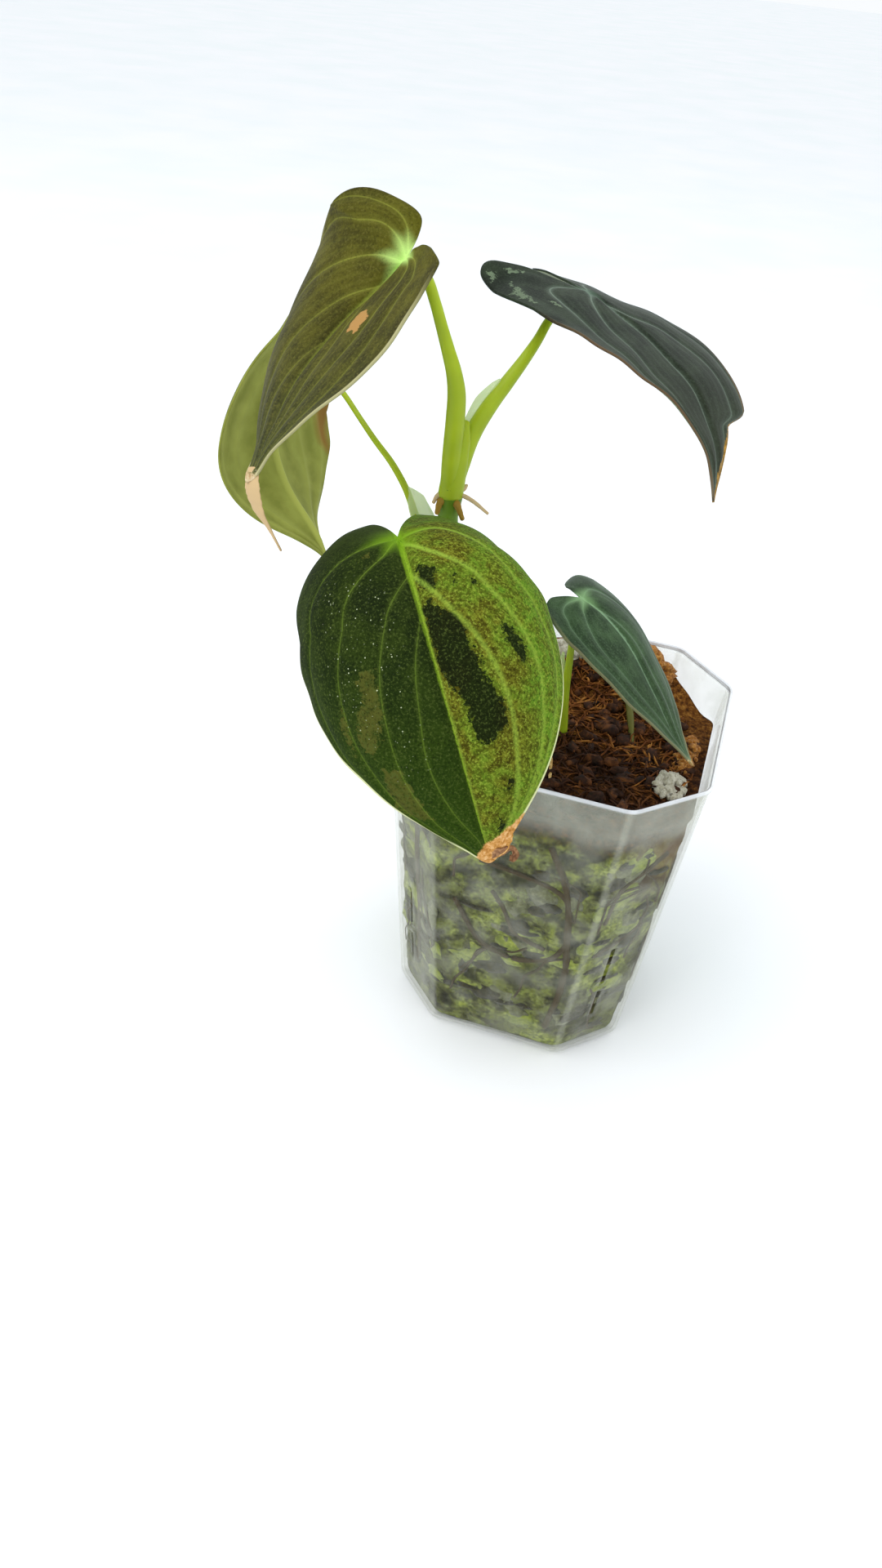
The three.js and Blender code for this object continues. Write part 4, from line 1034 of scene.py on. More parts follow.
# %% [markdown]
# The underside is paler and has no velvet. Here the veins stand out instead of sinking in, and soft
# bands of light and shade run between them, because the thin blade lets some light through.

# %% Underside of a blade
UNDERSIDE_CLOUDS, UNDERSIDE_CELLS = 6, 0.5


def blade_underside(name, ground, band, rib):
    # Bare leaf skin: smoother than the upper side, without shine, its cells drawn coarser than life
    material, tree, shader = new_material(name, Roughness=0.5, Specular_IOR_Level=0.06)
    labels = ("vein", "across", "reach", "scar")
    at = {label: add(tree, "Attribute", attribute_name=label, out="Fac") for label in labels}
    place = add(tree, "TexCoord", out="Object")
    turns = add(tree, "Math", at["vein"], 2 * math.pi, **TIMES)
    wave = add(tree, "Math", turns, operation="COSINE")
    bands = add(tree, "MapRange", wave, -1, 1, 0, 0.75)
    colour = add(tree, "MixRGB", bands, ground, band)
    clouds = add(tree, "TexNoise", place, Scale=1 / (UNDERSIDE_CLOUDS * MM), Detail=3, Roughness=0.55)
    spots = add(tree, "MapRange", clouds, 0.4, 0.7, 0, 0.35)
    colour = add(tree, "MixRGB", spots, colour, rib)
    outwards = add(tree, "Math", at["across"], operation="ABSOLUTE")
    to_middle = add(tree, "Math", outwards, at["reach"], **TIMES)
    midrib = add(tree, "MapRange", to_middle, 1.6, 0.5, 0, 0.9, **SMOOTH)
    colour = add(tree, "MixRGB", midrib, colour, rib)
    sore = add(tree, "MapRange", at["scar"], -2.5, 1.0, 0, 0.75)
    colour = add(tree, "MixRGB", sore, colour, "#8a5524")
    cells = add(tree, "TexNoise", place, Scale=1 / (UNDERSIDE_CELLS * MM), Detail=2, Roughness=0.55)
    bump = add(tree, "Bump", Height=cells, Strength=0.25, Distance=0.1 * MM)
    fill(tree, shader, {"Base Color": colour, "Normal": bump})
    return material


print("grains of an underside in mm:", UNDERSIDE_CLOUDS, UNDERSIDE_CELLS)

# %% [markdown]
# Now all five blades can be made.

# %% Make the five blades
UNDERSIDES = {
    "leaf_1": ("#6f7a42", "#85905a", "#a9b87a"),
    "leaf_2": ("#66724e", "#7b8662", "#9aa880"),
    "leaf_3": ("#80863a", "#999f4e", "#b0b65c"),
    "leaf_4": ("#66742c", "#7f8c44", "#a3b45c"),
    "leaf_5": ("#6a8258", "#7f966c", "#9fb888"),
}
for name, leaf in LEAVES.items():
    top = velvet_blade("velvet_" + name, LOOKS[name])
    below = blade_underside("underside_" + name, *UNDERSIDES[name])
    build_blade(name, leaf, [top, below])

# %% [markdown]
# Stalks, roots and fibres are all tubes. A curve object could sweep them, but a grid keeps one way
# of working for all pieces. The first thing a tube needs is its path: a smooth line through a few
# points, which doesn't overshoot where points are close together, and its direction at each place.

# %% A smooth path


def path_frame(points, place):
    """Point and direction on the smooth line through points, place from 0 to 1."""
    last = len(points) - 1
    at = min(max(place * last, 0), last - 1e-9)
    k = int(at)
    h = at - k
    p1, p2 = points[k], points[k + 1]
    p0 = points[k - 1] if k > 0 else 2 * p1 - p2
    p3 = points[k + 2] if k + 2 <= last else 2 * p2 - p1
    d0, d1, d2 = (max(np.linalg.norm(b - a) ** 0.5, 1e-4) for a, b in ((p0, p1), (p1, p2), (p2, p3)))
    m1 = ((p1 - p0) / d0 - (p2 - p0) / (d0 + d1) + (p2 - p1) / d1) * d1
    m2 = ((p2 - p1) / d1 - (p3 - p1) / (d1 + d2) + (p3 - p2) / d2) * d1
    c2 = -3 * p1 + 3 * p2 - 2 * m1 - m2
    c3 = 2 * p1 - 2 * p2 + m1 + m2
    return p1 + h * (m1 + h * (c2 + h * c3)), unit(m1 + h * (2 * c2 + 3 * h * c3))


corner = [np.array(point, float) for point in ((0, 0, 0), (10, 0, 0), (10, 10, 0))]
print("direction at the bend of a square corner:", path_frame(corner, 0.5)[1].round(2).tolist())

# %% [markdown]
# The tube itself is a grid rolled up: its columns run round, its rows run along the path, and
# merging doubles closes the seam and both ends. Two small rings beyond each end round it off. The
# grid's UVs stay on it, so a streak can follow the stalk.

# %% Tubes along a path
ROUND_END = ((0.0, 0.6), (0.72, 0.42))
TUBE_MERGE = 1e-7


def tube(shape, stations, sides=10, steps=24, wide=(1, 0, 0), twist=0.0, lumps=0.0, seed=1):
    """A closed tube through stations of x, y, z, half width and half depth, in millimetres."""
    points = [np.array(s[:3], float) for s in stations]
    sizes = np.array([[s[3], s[4] if len(s) > 4 else s[3]] for s in stations], float)
    rings = [(0.0, scale, -beyond) for scale, beyond in ROUND_END]
    rings += [(k / steps, 1.0, 0.0) for k in range(steps + 1)]
    rings += [(1.0, scale, beyond) for scale, beyond in reversed(ROUND_END)]
    verts, around, along = grid_places(shape, sides, len(rings) - 1)
    row = np.rint(along * (len(rings) - 1)).astype(int)
    draw = random.Random(seed)
    middles, rights, ups, scales = [], [], [], []
    for place, scale, beyond in rings:
        middle, tangent = path_frame(points, place)
        right = np.array(Matrix.Rotation(twist * place, 3, Vector(tangent)) @ Vector(wide))
        right = unit(right - (right @ tangent) * tangent)
        at = place * (len(sizes) - 1)
        size = np.array([np.interp(at, range(len(sizes)), sizes[:, k]) for k in (0, 1)])
        middles.append(middle + tangent * beyond * size.min())
        rights.append(right)
        ups.append(np.cross(tangent, right))
        scales.append(size * scale * (1 + lumps * draw.uniform(-1, 1)))
    middles, rights, ups, scales = (np.array(a)[row] for a in (middles, rights, ups, scales))
    angle = 2 * math.pi * around
    rim = rights * (scales[:, 0] * np.cos(angle))[:, None]
    rim += ups * (scales[:, 1] * np.sin(angle))[:, None]
    place_verts(verts, (middles + rim) * MM)
    bmesh.ops.remove_doubles(shape, verts=verts, dist=TUBE_MERGE)


print("rings that round off a tube's end:", len(ROUND_END))

# %% [markdown]
# Dead plant tissue is dry, dull and brittle, in browns that run from rust to straw. The same kind of
# husk serves for dried leaf, coir, bark and straw, with its own colours and grain. On the long strip
# the streaks follow its length, by UV, and it grows browner towards its end.

# %% Husk


def husk_material(name, colours, grain, spread=0.2, browned_end=None):
    # Dead plant tissue: matt, with a rough grain that breaks up the light
    material, tree, shader = new_material(name, Roughness=0.75, Specular_IOR_Level=0.2)
    places = (0.5 - spread, 0.5, 0.5 + spread)
    if browned_end:
        uv = add(tree, "UVMap", uv_map="UVMap")
        long = add(tree, "Mapping", uv, Scale=(16, 2, 1))
        streaks = add(tree, "TexNoise", long, Scale=1.0, Detail=4.0)
        colour = add(tree, "ValToRGB", streaks, stops=list(zip(places, colours)))
        length = add(tree, "SeparateXYZ", uv, out="Y")
        towards_end = add(tree, "MapRange", length, 0.5, 0.9, 0, 0.85)
        colour = add(tree, "MixRGB", towards_end, colour, browned_end)
    else:
        place = add(tree, "TexCoord", out="Object")
        streaks = add(tree, "TexNoise", place, Scale=1 / (grain * MM), Detail=4, Roughness=0.7)
        colour = add(tree, "ValToRGB", streaks, stops=list(zip(places, colours)))
    bump = add(tree, "Bump", Height=streaks, Strength=0.4, Distance=0.3 * MM)
    fill(tree, shader, {"Base Color": colour, "Normal": bump})
    return material


# Papery leaf tip: pale and streaked, going rusty
papery_husk = husk_material("papery_husk", ["#a06c3c", "#c4a87c", "#ddcfb2"], 1.4, browned_end="#9c6026")
# Freshly dried leaf: warm tan
tan_husk = husk_material("tan_husk", ["#9a6628", "#cf974c", "#ecc68c"], 1.6)
# Leaf that has been dead for long: dark brown and crisp
brown_husk = husk_material("brown_husk", ["#4c2e1a", "#8a6040", "#b98e62"], 1.0)
print("husks:", papery_husk.name, tan_husk.name, brown_husk.name)

# %% [markdown]
# Two blades end in dried tissue: a twisted papery strip on the first, and a small flap and curl on
# the fourth. They are thin twisted tubes, flat enough to read as strips.

# %% Dried ends
STRIP = [
    [-73.8, -71.4, 204.6, 1.6, 0.35], [-73.2, -73.4, 200.4, 2.9, 0.35], [-71.7, -73.4, 195, 2.7, 0.35],
    [-69.2, -72.7, 190.5, 1.9, 0.35], [-66.5, -72, 185.2, 0.5, 0.3],
]
CURL = [
    [0.6, -96.9, 129.8, 2, 0.35], [2.8, -95.7, 130.3, 2.2, 0.35], [4.5, -94, 130.3, 2, 0.35],
    [5.6, -93.8, 128.7, 1.4, 0.35], [5.2, -94.7, 127.3, 0.7, 0.3],
]
FLAP = [
    [3.7, -94.2, 140.7, 0.3, 0.35], [3.5, -94.8, 137.8, 1.0, 0.35], [3.1, -95.2, 134.4, 1.6, 0.35],
    [2.0, -95.7, 131.0, 1.9, 0.35], [0.4, -96.0, 128.1, 1.0, 0.35],
]
strip = bmesh.new()
tube(strip, STRIP, sides=14, steps=40, wide=(0.9, -0.2, 0.4), twist=0.8, lumps=0.06)
make_piece("leaf_1_dried_strip", strip, [papery_husk])
curl = bmesh.new()
tube(curl, CURL, sides=14, steps=30, wide=(0.3, 0.4, -0.9), twist=0.8, lumps=0.08)
make_piece("leaf_4_dried_curl", curl, [brown_husk])
flap = bmesh.new()
tube(flap, FLAP, sides=14, steps=30, wide=(0.951, 0.298, 0.084), twist=0.3, lumps=0.06)
make_piece("leaf_4_dried_flap", flap, [tan_husk])

# %% [markdown]
# The stalks are fleshy and a little see-through: bright lime, with paler lengthwise streaks where
# strands of fibre run under the skin. Subsurface scattering lets light soak in, as in real flesh.
# Streaks follow the tube's own UVs, 14 round it, and soft clouds vary the green.

# %% Stalk skin
STREAKS_ROUND, STREAKS_LONG = 14, 3
STALK_CLOUDS = 8


def stalk_skin(name, deep, pale, streak, roughness, **finish):
    # Living stalk: moist and waxy, with a soft light of its own
    material, tree, shader = new_material(
        name, Roughness=roughness, Subsurface_Weight=0.1, Subsurface_Scale=0.6 * MM,
        Specular_IOR_Level=0.2, **finish)
    uv = add(tree, "UVMap", uv_map="UVMap")
    long = add(tree, "Mapping", uv, Scale=(STREAKS_ROUND, STREAKS_LONG, 1))
    streaks = add(tree, "TexNoise", long, Scale=1.0, Detail=3.0)
    place = add(tree, "TexCoord", out="Object")
    clouds = add(tree, "TexNoise", place, Scale=1 / (STALK_CLOUDS * MM), Detail=2, Roughness=0.55)
    ground = add(tree, "MixRGB", clouds, deep, pale)
    amount = add(tree, "MapRange", streaks, 0.45, 0.62, 0, 0.75)
    colour = add(tree, "MixRGB", amount, ground, streak)
    bump = add(tree, "Bump", Height=streaks, Strength=0.25, Distance=0.2 * MM)
    fill(tree, shader, {"Base Color": colour, "Normal": bump})
    return material


# Young petiole: bright lime with yellow strands
petiole_skin = stalk_skin("petiole_skin", "#7f980a", "#aac212", "#c8d44c", 0.4)
# Older stem: duller, darker green
stem_skin = stalk_skin("stem_skin", "#4c7414", "#64861a", "#86a23a", 0.45)
# Sheath: a thin skin that lets a third of the light through
sheath_skin = stalk_skin("sheath_membrane", "#c4dc86", "#d9eda6", "#ecf7d2", 0.45, Alpha=0.62)
# Aerial roots: corky and ochre, or pale where they are new
root_bark = stalk_skin("aerial_root_bark", "#7c5c0c", "#a07c1e", "#c2a450", 0.5)
pale_root = stalk_skin("pale_root", "#c4a878", "#d4bc90", "#e4d2ac", 0.6)
print("stalk skins:", petiole_skin.name, stem_skin.name, sheath_skin.name, root_bark.name, pale_root.name)

# %% [markdown]
# The stem leans out of the soil and carries two nodes, one above the other. It swells at each.

# %% Stem
STEM = [
    [-8, -7.5, 80, 2.6], [-8.2, -7.6, 92, 2.6], [-9, -8, 103, 2.65], [-15.2, -10.2, 121.7, 2.65],
    [-26.2, -16.8, 142.8, 2.65], [-33.6, -23.9, 162.8, 2.65], [-37.6, -24.1, 175.8, 3.1],
    [-38.3, -22.9, 180.8, 2.8], [-38.2, -22.4, 186.1, 3.3], [-38.3, -22.5, 189.2, 3],
]
stem = bmesh.new()
tube(stem, STEM, sides=24, steps=90)
make_piece("main_stem", stem, [stem_skin], ["stem"])

# %% [markdown]
# Four petioles leave the nodes, each thinning towards its blade. The two tall ones share a swollen,
# flattened base, which wraps the stem's top. The thin one of the sage leaf sets off sideways first.

# %% Petioles
PETIOLES = [
    [[-38.6, -22.9, 187, 2.5], [-38.8, -22.9, 197.2, 2.6], [-38.6, -23.5, 208.5, 2.55],
     [-38.8, -23.9, 214.7, 2.4], [-39.7, -25, 220.2, 2.05], [-41.2, -26.4, 225.5, 1.75],
     [-42.9, -28.4, 231.7, 1.5], [-45, -28.6, 237.1, 1.4], [-47.7, -28.5, 242.3, 1.4],
     [-51.6, -30.4, 246.1, 0.8]],
    [[-37.8, -21.9, 187.5, 2.3], [-36.8, -19.9, 195, 2.5], [-35.2, -17.2, 202.5, 2.4],
     [-32.3, -13.6, 209.4, 2.2], [-29, -9.6, 215.3, 1.9], [-26.2, -5.3, 220.4, 1.6],
     [-24.2, -1, 224.7, 1.35], [-22.8, 3.8, 228.8, 1.2], [-20.5, 9.1, 232.4, 1.15],
     [-16.5, 12.6, 234.1, 0.8]],
    [[-34.4, -23.8, 165.5, 1.9], [-34.6, -34, 170.5, 1.55], [-35.6, -46, 176, 1.4],
     [-38, -54.5, 181.5, 1.3], [-39.6, -58.9, 186.2, 1.1], [-40.2, -60.2, 188.6, 0.8]],
    [[-36.8, -24.2, 172.6, 1.6], [-40.4, -26.2, 173.2, 1.5], [-44.5, -25.3, 176, 1.3],
     [-47.9, -22.3, 178.9, 1.1], [-50.4, -19.5, 181.3, 1.0], [-53, -16.8, 183.7, 1.0],
     [-58.4, -13.4, 188.4, 0.95], [-64.9, -10.7, 193.2, 0.85], [-71.2, -6.6, 197.2, 0.8],
     [-78.1, -1.4, 201.1, 0.8], [-84.8, 2.1, 204.5, 0.8], [-92.7, 3.5, 207.2, 0.6]],
]
PETIOLE_BASE = [
    [-38.3, -22.7, 185.4, 2.9, 2.9], [-38.3, -22.5, 186.6, 3.45, 3.4], [-38.1, -22.1, 190, 3.4, 3.2],
    [-37.9, -21.6, 196, 3.35, 2.5], [-37.5, -21, 202, 3.0, 1.9], [-37, -20.4, 206.5, 1.6, 1.0],
]
petioles = bmesh.new()
for path in PETIOLES:
    tube(petioles, path, sides=18, steps=70)
tube(petioles, PETIOLE_BASE, sides=24, steps=40, wide=(1, 0.3, 0))
make_piece("petioles", petioles, [petiole_skin])

# %% [markdown]
# Each young petiole was once wrapped in a pale sheath, and wisps of it still stand beside the
# stalks. They are wide, flat tubes. Each comes with the direction in which it is wide.

# %% Sheaths
SHEATHS = [
    ([[-37.6, -21.9, 203.5, 1.4, 0.7], [-38, -22.9, 210.3, 1.5, 0.7], [-39, -23.9, 217.4, 1.3, 0.6],
      [-40.1, -24.8, 222.9, 0.9, 0.4], [-40.3, -25, 224.6, 0.3, 0.25]], (0.9, 0.4, 0)),
    ([[-38.2, -20.4, 193, 1.6, 0.9], [-37.2, -18.6, 199.2, 2.2, 0.9], [-35.6, -16.3, 205.5, 2.4, 0.8],
      [-34.2, -13.9, 210.4, 2.1, 0.7], [-31.6, -11.7, 214.5, 1.3, 0.5], [-30.8, -10.9, 216, 0.4, 0.3]],
     (0.8, -0.2, -0.5)),
    ([[-51.8, -17.5, 184.2, 0.3, 0.3], [-50.3, -18.3, 183.3, 1.3, 0.5], [-49, -19.4, 182.4, 2.4, 0.5],
      [-47.4, -21.1, 180.7, 2.9, 0.5], [-45.4, -23, 178.7, 3.3, 0.6], [-43.4, -25, 176.1, 3.3, 0.6]],
     (0.951, 0.298, 0.084)),
]
sheaths = bmesh.new()
for path, wide in SHEATHS:
    tube(sheaths, path, sides=16, steps=40, wide=wide)
make_piece("sheaths", sheaths, [sheath_skin])

# %% [markdown]
# Stubby aerial roots break out round the top node, with one longer and paler one, and a bud.

# %% Aerial roots
STUBBY_ROOTS = [
    [[-38.5, -23.4, 186.2, 0.9], [-40.1, -25.4, 185.4, 1.05], [-40.4, -27.0, 182.6, 0.6]],
    [[-37.5, -22.8, 186.2, 0.95], [-35.7, -24.6, 185.4, 1.05], [-33.3, -26, 182.0, 0.6]],
]
PALE_ROOTS = [
    [[-37.1, -22.1, 187.2, 0.7], [-34.7, -22.1, 187, 0.65], [-31.7, -22.2, 186, 0.6],
     [-27.2, -22.8, 183.7, 0.4]],
    [[-38.9, -23.4, 186.6, 0.8], [-41.2, -24, 186.6, 0.75], [-42.1, -25.4, 184.8, 0.5]],
    [[-36.7, -21.6, 187.6, 1.1], [-35.1, -20.8, 188.8, 0.9], [-34.4, -20.4, 189.5, 0.4]],
]
roots = bmesh.new()
for seed, path in enumerate(STUBBY_ROOTS):
    tube(roots, path, sides=10, steps=16, lumps=0.08, seed=seed)
make_piece("aerial_roots", roots, [root_bark])
pale_roots = bmesh.new()
for path in PALE_ROOTS:
    tube(pale_roots, path, sides=10, steps=20, lumps=0.05)
make_piece("pale_aerial_roots", pale_roots, [pale_root])

# %% [markdown]
# The young shoot rises from the soil by itself, upright and thin, with a short sheath low on it.

# %% The young shoot
SHOOT = [
    [1, 0.2, 82, 1.6], [0.8, 0, 95, 1.6], [0.6, -0.1, 104, 1.6], [-0.8, -0.1, 119.5, 1.35],
    [-1.1, -1, 131.9, 1.15], [-1.4, -1.1, 141.9, 1], [-1.3, -1, 149, 0.9], [-1.15, -1, 152.7, 0.6],
]
SHOOT_SHEATH = [
    [-0.4, 0.2, 106, 1.2, 0.8], [-2, 0.4, 118, 1.5, 0.6], [-3, 0.2, 127, 1.3, 0.5],
    [-3.6, 0, 134, 0.4, 0.3],
]
shoot = bmesh.new()
tube(shoot, SHOOT, sides=18, steps=60)
make_piece("shoot_petiole", shoot, [petiole_skin], ["petiole_5"])
shoot_sheath = bmesh.new()
tube(shoot_sheath, SHOOT_SHEATH, sides=14, steps=30)
make_piece("shoot_sheath", shoot_sheath, [sheath_skin])

# %% [markdown]
# The pot is injection-moulded clear plastic: a square with its corners cut off, tapering to the
# foot, with a thicker band at the rim. It is a grid again, and its columns follow the outline round.
# Each of the eight sides has six columns on its rounded corner and eight lanes along it. On the cut
# corners, two lanes are moved so that a drainage slot fits between them.

# %% Pot outline
POT_HEIGHT = 118.0
FOOT_REACH, RIM_REACH = 40.4, 49.5
FOOT_CUT, RIM_CUT = 17.9, 19.4
CORNER_ROUND, CORNER_COLUMNS = 3.0, 6
LANES = (-0.75, -0.55, -0.35, -0.15, 0.15, 0.35, 0.55, 0.75)
SIDE_COLUMNS = CORNER_COLUMNS + len(LANES)
SLOT_OFFSETS = (-3.3, -0.7)


def wall_reach(z):
    return FOOT_REACH + (RIM_REACH - FOOT_REACH) * z / POT_HEIGHT


def corner_cut(z):
    return FOOT_CUT + (RIM_CUT - FOOT_CUT) * z / POT_HEIGHT


def pot_loop(z, inset):
    """The pot's outline at a height, moved inwards, as points in order from the front left."""
    reach = wall_reach(z) - inset
    short = reach - corner_cut(z) + inset * (2 - math.sqrt(2))
    corners = np.array([[-short, -reach], [short, -reach], [reach, -short], [reach, short],
                        [short, reach], [-short, reach], [-reach, short], [-reach, -short]], float)
    rounding = min(CORNER_ROUND, 0.45 * (reach - short) * math.sqrt(2), 0.9 * short)
    loop = []
    for k in range(8):
        here, after, before = corners[k], corners[(k + 1) % 8], corners[k - 1]
        start = here + unit(before - here) * rounding
        end = here + unit(after - here) * rounding
        for share in np.linspace(0, 1, CORNER_COLUMNS):
            loop.append((1 - share) ** 2 * start + 2 * share * (1 - share) * here + share ** 2 * end)
        middle, direction = (here + after) / 2, unit(after - here)
        half = np.linalg.norm(after - here) / 2 - rounding
        offsets = [share * half for share in LANES]
        if k % 2:
            offsets[2:4] = [offset * min(1, half / 6) for offset in SLOT_OFFSETS]
            offsets[4] = min(2.0, offsets[4] + 1)
        loop += [middle + direction * offset for offset in offsets]
    return np.array(loop)


LOOP_COUNT = len(pot_loop(50, 0))
print("columns round the pot:", LOOP_COUNT)

# %% [markdown]
# The rows follow the pot's profile from the middle of the floor to the rim: rings across the floor,
# a quarter round at the foot, straight walls with rows where slots begin and end, and the band.

# %% Pot profile
FLOOR_SHARES = (0, 0.3, 0.57, 0.73, 0.87, 0.94)
FOOT_ROUND, FOOT_STEPS = 3.0, 6
WALL_HEIGHTS = (6, 10, 14, 18, 22, 27, 32, 34.5, 40, 47, 53.5, 60, 68, 76, 84, 92, 100, 108, 113)
RIM_BAND, RIM_LIP = 1.6, 0.5


def pot_profile():
    """Rows from the middle of the floor to the rim, each as height, inset and share of the loop."""
    rows = [(0, FOOT_ROUND, share) for share in FLOOR_SHARES]
    for angle in np.linspace(0, 90, FOOT_STEPS):
        turn = math.radians(angle)
        rows.append((FOOT_ROUND * (1 - math.cos(turn)), FOOT_ROUND * (1 - math.sin(turn)), 1))
    rows += [(z, 0, 1) for z in WALL_HEIGHTS]
    band = POT_HEIGHT - RIM_BAND
    rows += [(band - 0.6, 0, 1), (band - 0.25, -RIM_LIP * 0.7, 1), (band, -RIM_LIP, 1)]
    rows += [(POT_HEIGHT - 0.3, -RIM_LIP, 1), (POT_HEIGHT, -RIM_LIP + 0.25, 1)]
    return rows


print("rows from floor to rim:", len(pot_profile()))

# %% [markdown]
# The plastic is nearly clear, but moulding leaves it hazy, and handling leaves fine scuffs and dried
# drips. It is drawn with little alpha: what there is of it is pale blue-white and smooth, so what
# stands behind shows through, greyed a little. It is denser where the wall turns away, above the
# soil, where nothing wet lies against it, and at the rim. Down the bends it is denser too, as a
# painted highlight, and the rim is tinted paler and bluer, as a painted highlight. Full glass would
# be the other way, but it needs many light paths, and dark refractions would hide what is inside.

# %% Clear plastic
HAZE_SIZE, DRIP_SIZE = 11, 2.5
DRY_WALL_FROM, DRY_WALL_TO = 0.099, 0.106
RIM_FROM, RIM_TO = 0.1163, 0.117


def clear_plastic():
    # Moulded clear plastic: smooth and faintly milky, with drips where water has dried
    material, tree, shader = new_material("clear_moulded_plastic", Roughness=0.14, IOR=1.5)
    place = add(tree, "TexCoord", out="Object")
    height = add(tree, "SeparateXYZ", place, out="Z")
    facing = add(tree, "LayerWeight", Blend=0.3, out="Facing")
    haze = add(tree, "TexNoise", place, Scale=1 / (HAZE_SIZE * MM), Detail=3, Roughness=0.55)
    drawn_out = add(tree, "Mapping", place, Scale=(1, 1, 0.2))
    drips = add(tree, "TexNoise", drawn_out, Scale=1 / (DRIP_SIZE * MM), Detail=5, Roughness=0.7)
    bend = add(tree, "Attribute", attribute_name="bend", out="Fac")
    rim = add(tree, "MapRange", height, RIM_FROM, RIM_TO)
    layers = [
        add(tree, "MapRange", drips, 0.6, 0.75, 0, 0.08),
        add(tree, "MapRange", facing, 0.3, 0.9, 0, 0.3),
        add(tree, "MapRange", height, DRY_WALL_FROM, DRY_WALL_TO, 0, 0.17),
        add(tree, "MapRange", height, RIM_FROM, RIM_TO, 0, 0.4),
        # Painted highlight: the plastic is denser down the middle of each bend
        add(tree, "Math", bend, 0.1, **TIMES),
    ]
    density = add(tree, "MapRange", haze, 0.42, 0.62, 0.02, 0.1)
    for layer in layers:
        density = add(tree, "Math", density, layer, use_clamp=True, **PLUS)
    # Painted highlight: the rim is tinted paler and bluer than the wall
    tint = add(tree, "MixRGB", rim, "#d9dccb", "#f6f9ff")
    bump = add(tree, "Bump", Height=haze, Strength=0.1, Distance=0.4 * MM)
    fill(tree, shader, {"Base Color": tint, "Alpha": density, "Normal": bump})
    return material


plastic = clear_plastic()
print("pot material:", plastic.name)

# %% [markdown]
# Water leaves by tall slots low in the cut corners and by eight holes in the floor. Real ones are
# cut by pins in the mould. Here they are faces taken out of the grid, before it gets its wall, so
# the Solidify modifier closes their edges by itself.

# %% Slots and holes
SLOT_HEIGHTS = ((18, 32), (34.5, 53.5))
FLOOR = 2.0
DRAIN_NEAR, DRAIN_FAR, DRAIN_HALF = 23.0, 27.5, 3.5


def slot_faces(shape):
    found = []
    for face in shape.faces:
        middle = face.calc_center_median() / MM
        at_height = any(low < middle.z < top for low, top in SLOT_HEIGHTS)
        for quarter in range(4):
            angle = math.pi / 4 + quarter * math.pi / 2
            beside = middle.x * math.cos(angle) + middle.y * math.sin(angle)
            out = middle.x * math.sin(angle) - middle.y * math.cos(angle)
            if at_height and out > 30 and SLOT_OFFSETS[0] < beside < SLOT_OFFSETS[1]:
                found.append(face)
    return found


def drain_faces(shape):
    found = []
    for face in shape.faces:
        middle = face.calc_center_median() / MM
        for eighth in range(8):
            angle = eighth * math.pi / 4
            out = middle.x * math.cos(angle) + middle.y * math.sin(angle)
            beside = middle.y * math.cos(angle) - middle.x * math.sin(angle)
            if middle.z < FLOOR and DRAIN_NEAR < out < DRAIN_FAR and abs(beside) < DRAIN_HALF:
                found.append(face)
    return found


print("slots from", SLOT_HEIGHTS[0][0], "to", SLOT_HEIGHTS[-1][1], "mm up the wall")

# %% [markdown]
# Now the pot is put together. Its foot arches up a little between the corners, so it stands on them
# alone. The middle of each rounded corner is marked for the plastic, because a bend gathers light.

# %% Build the pot
POT_WALL = 1.0
ARCH_RISE, ARCH_DEPTH, ARCH_FADE, ARCH_HEIGHT = 1.1, 7.0, 4, 8
BEND_COLUMNS = (2, 3)


def raise_foot(points):
    half = FOOT_REACH - FOOT_CUT
    for axis in (0, 1):
        beside, out = points[:, axis], np.abs(points[:, 1 - axis])
        arch = ARCH_RISE * np.clip(1 - (beside / half) ** 2, 0, 1)
        near = np.clip((out - (FOOT_REACH - ARCH_DEPTH)) / ARCH_FADE, 0, 1)
        points[:, 2] += arch * near * np.clip(1 - points[:, 2] / ARCH_HEIGHT, 0, 1)


def build_pot():
    rows = pot_profile()
    shape = bmesh.new()
    shape.verts.layers.float.new("bend")
    verts, around, along = grid_places(shape, LOOP_COUNT, len(rows) - 1)
    column = np.rint(around * LOOP_COUNT).astype(int) % LOOP_COUNT
    row = np.rint(along * (len(rows) - 1)).astype(int)
    loops = [pot_loop(z, inset) * share for z, inset, share in rows]
    points = np.array([[*loops[r][c], rows[r][0]] for r, c in zip(row, column)])
    raise_foot(points)
    place_verts(verts, points * MM)
    bend = shape.verts.layers.float["bend"]
    for vert, c in zip(verts, column.tolist()):
        vert[bend] = 1.0 if c % SIDE_COLUMNS in BEND_COLUMNS else 0.0
    slots, drains = slot_faces(shape), drain_faces(shape)
    bmesh.ops.delete(shape, geom=slots + drains, context="FACES")
    bmesh.ops.remove_doubles(shape, verts=shape.verts[:], dist=MERGE)
    pot = make_piece("clear_pot", shape, [plastic], ["pot"], sharp=35)
    wall = pot.modifiers.new("wall", "SOLIDIFY")
    wall.thickness = POT_WALL * MM
    wall.offset = -1
    print("slot faces taken out:", len(slots), "drain faces:", len(drains))


build_pot()

# %% [markdown]
# Inside is a mix of moss, bark and fibre, filled to a little below the rim and heaped at the back.
# Everything that lies on the soil asks one function how high the soil is there, so nothing floats.

# %% Ground level
SOIL_LEVEL = 104.0
HEAP_RISE = 12.0
SOIL_ROUGHNESS = 1.3


def soil_height(x, y):
    heap = np.exp(-(((x - 4) / 30) ** 2) - (np.maximum(0, 50 - y) / 15) ** 2)
    return SOIL_LEVEL + HEAP_RISE * heap + SOIL_ROUGHNESS * unevenness(x, y, 7)


print("soil height in mm, front and back:", [round(float(soil_height(0, y)), 1) for y in (-40, 40)])

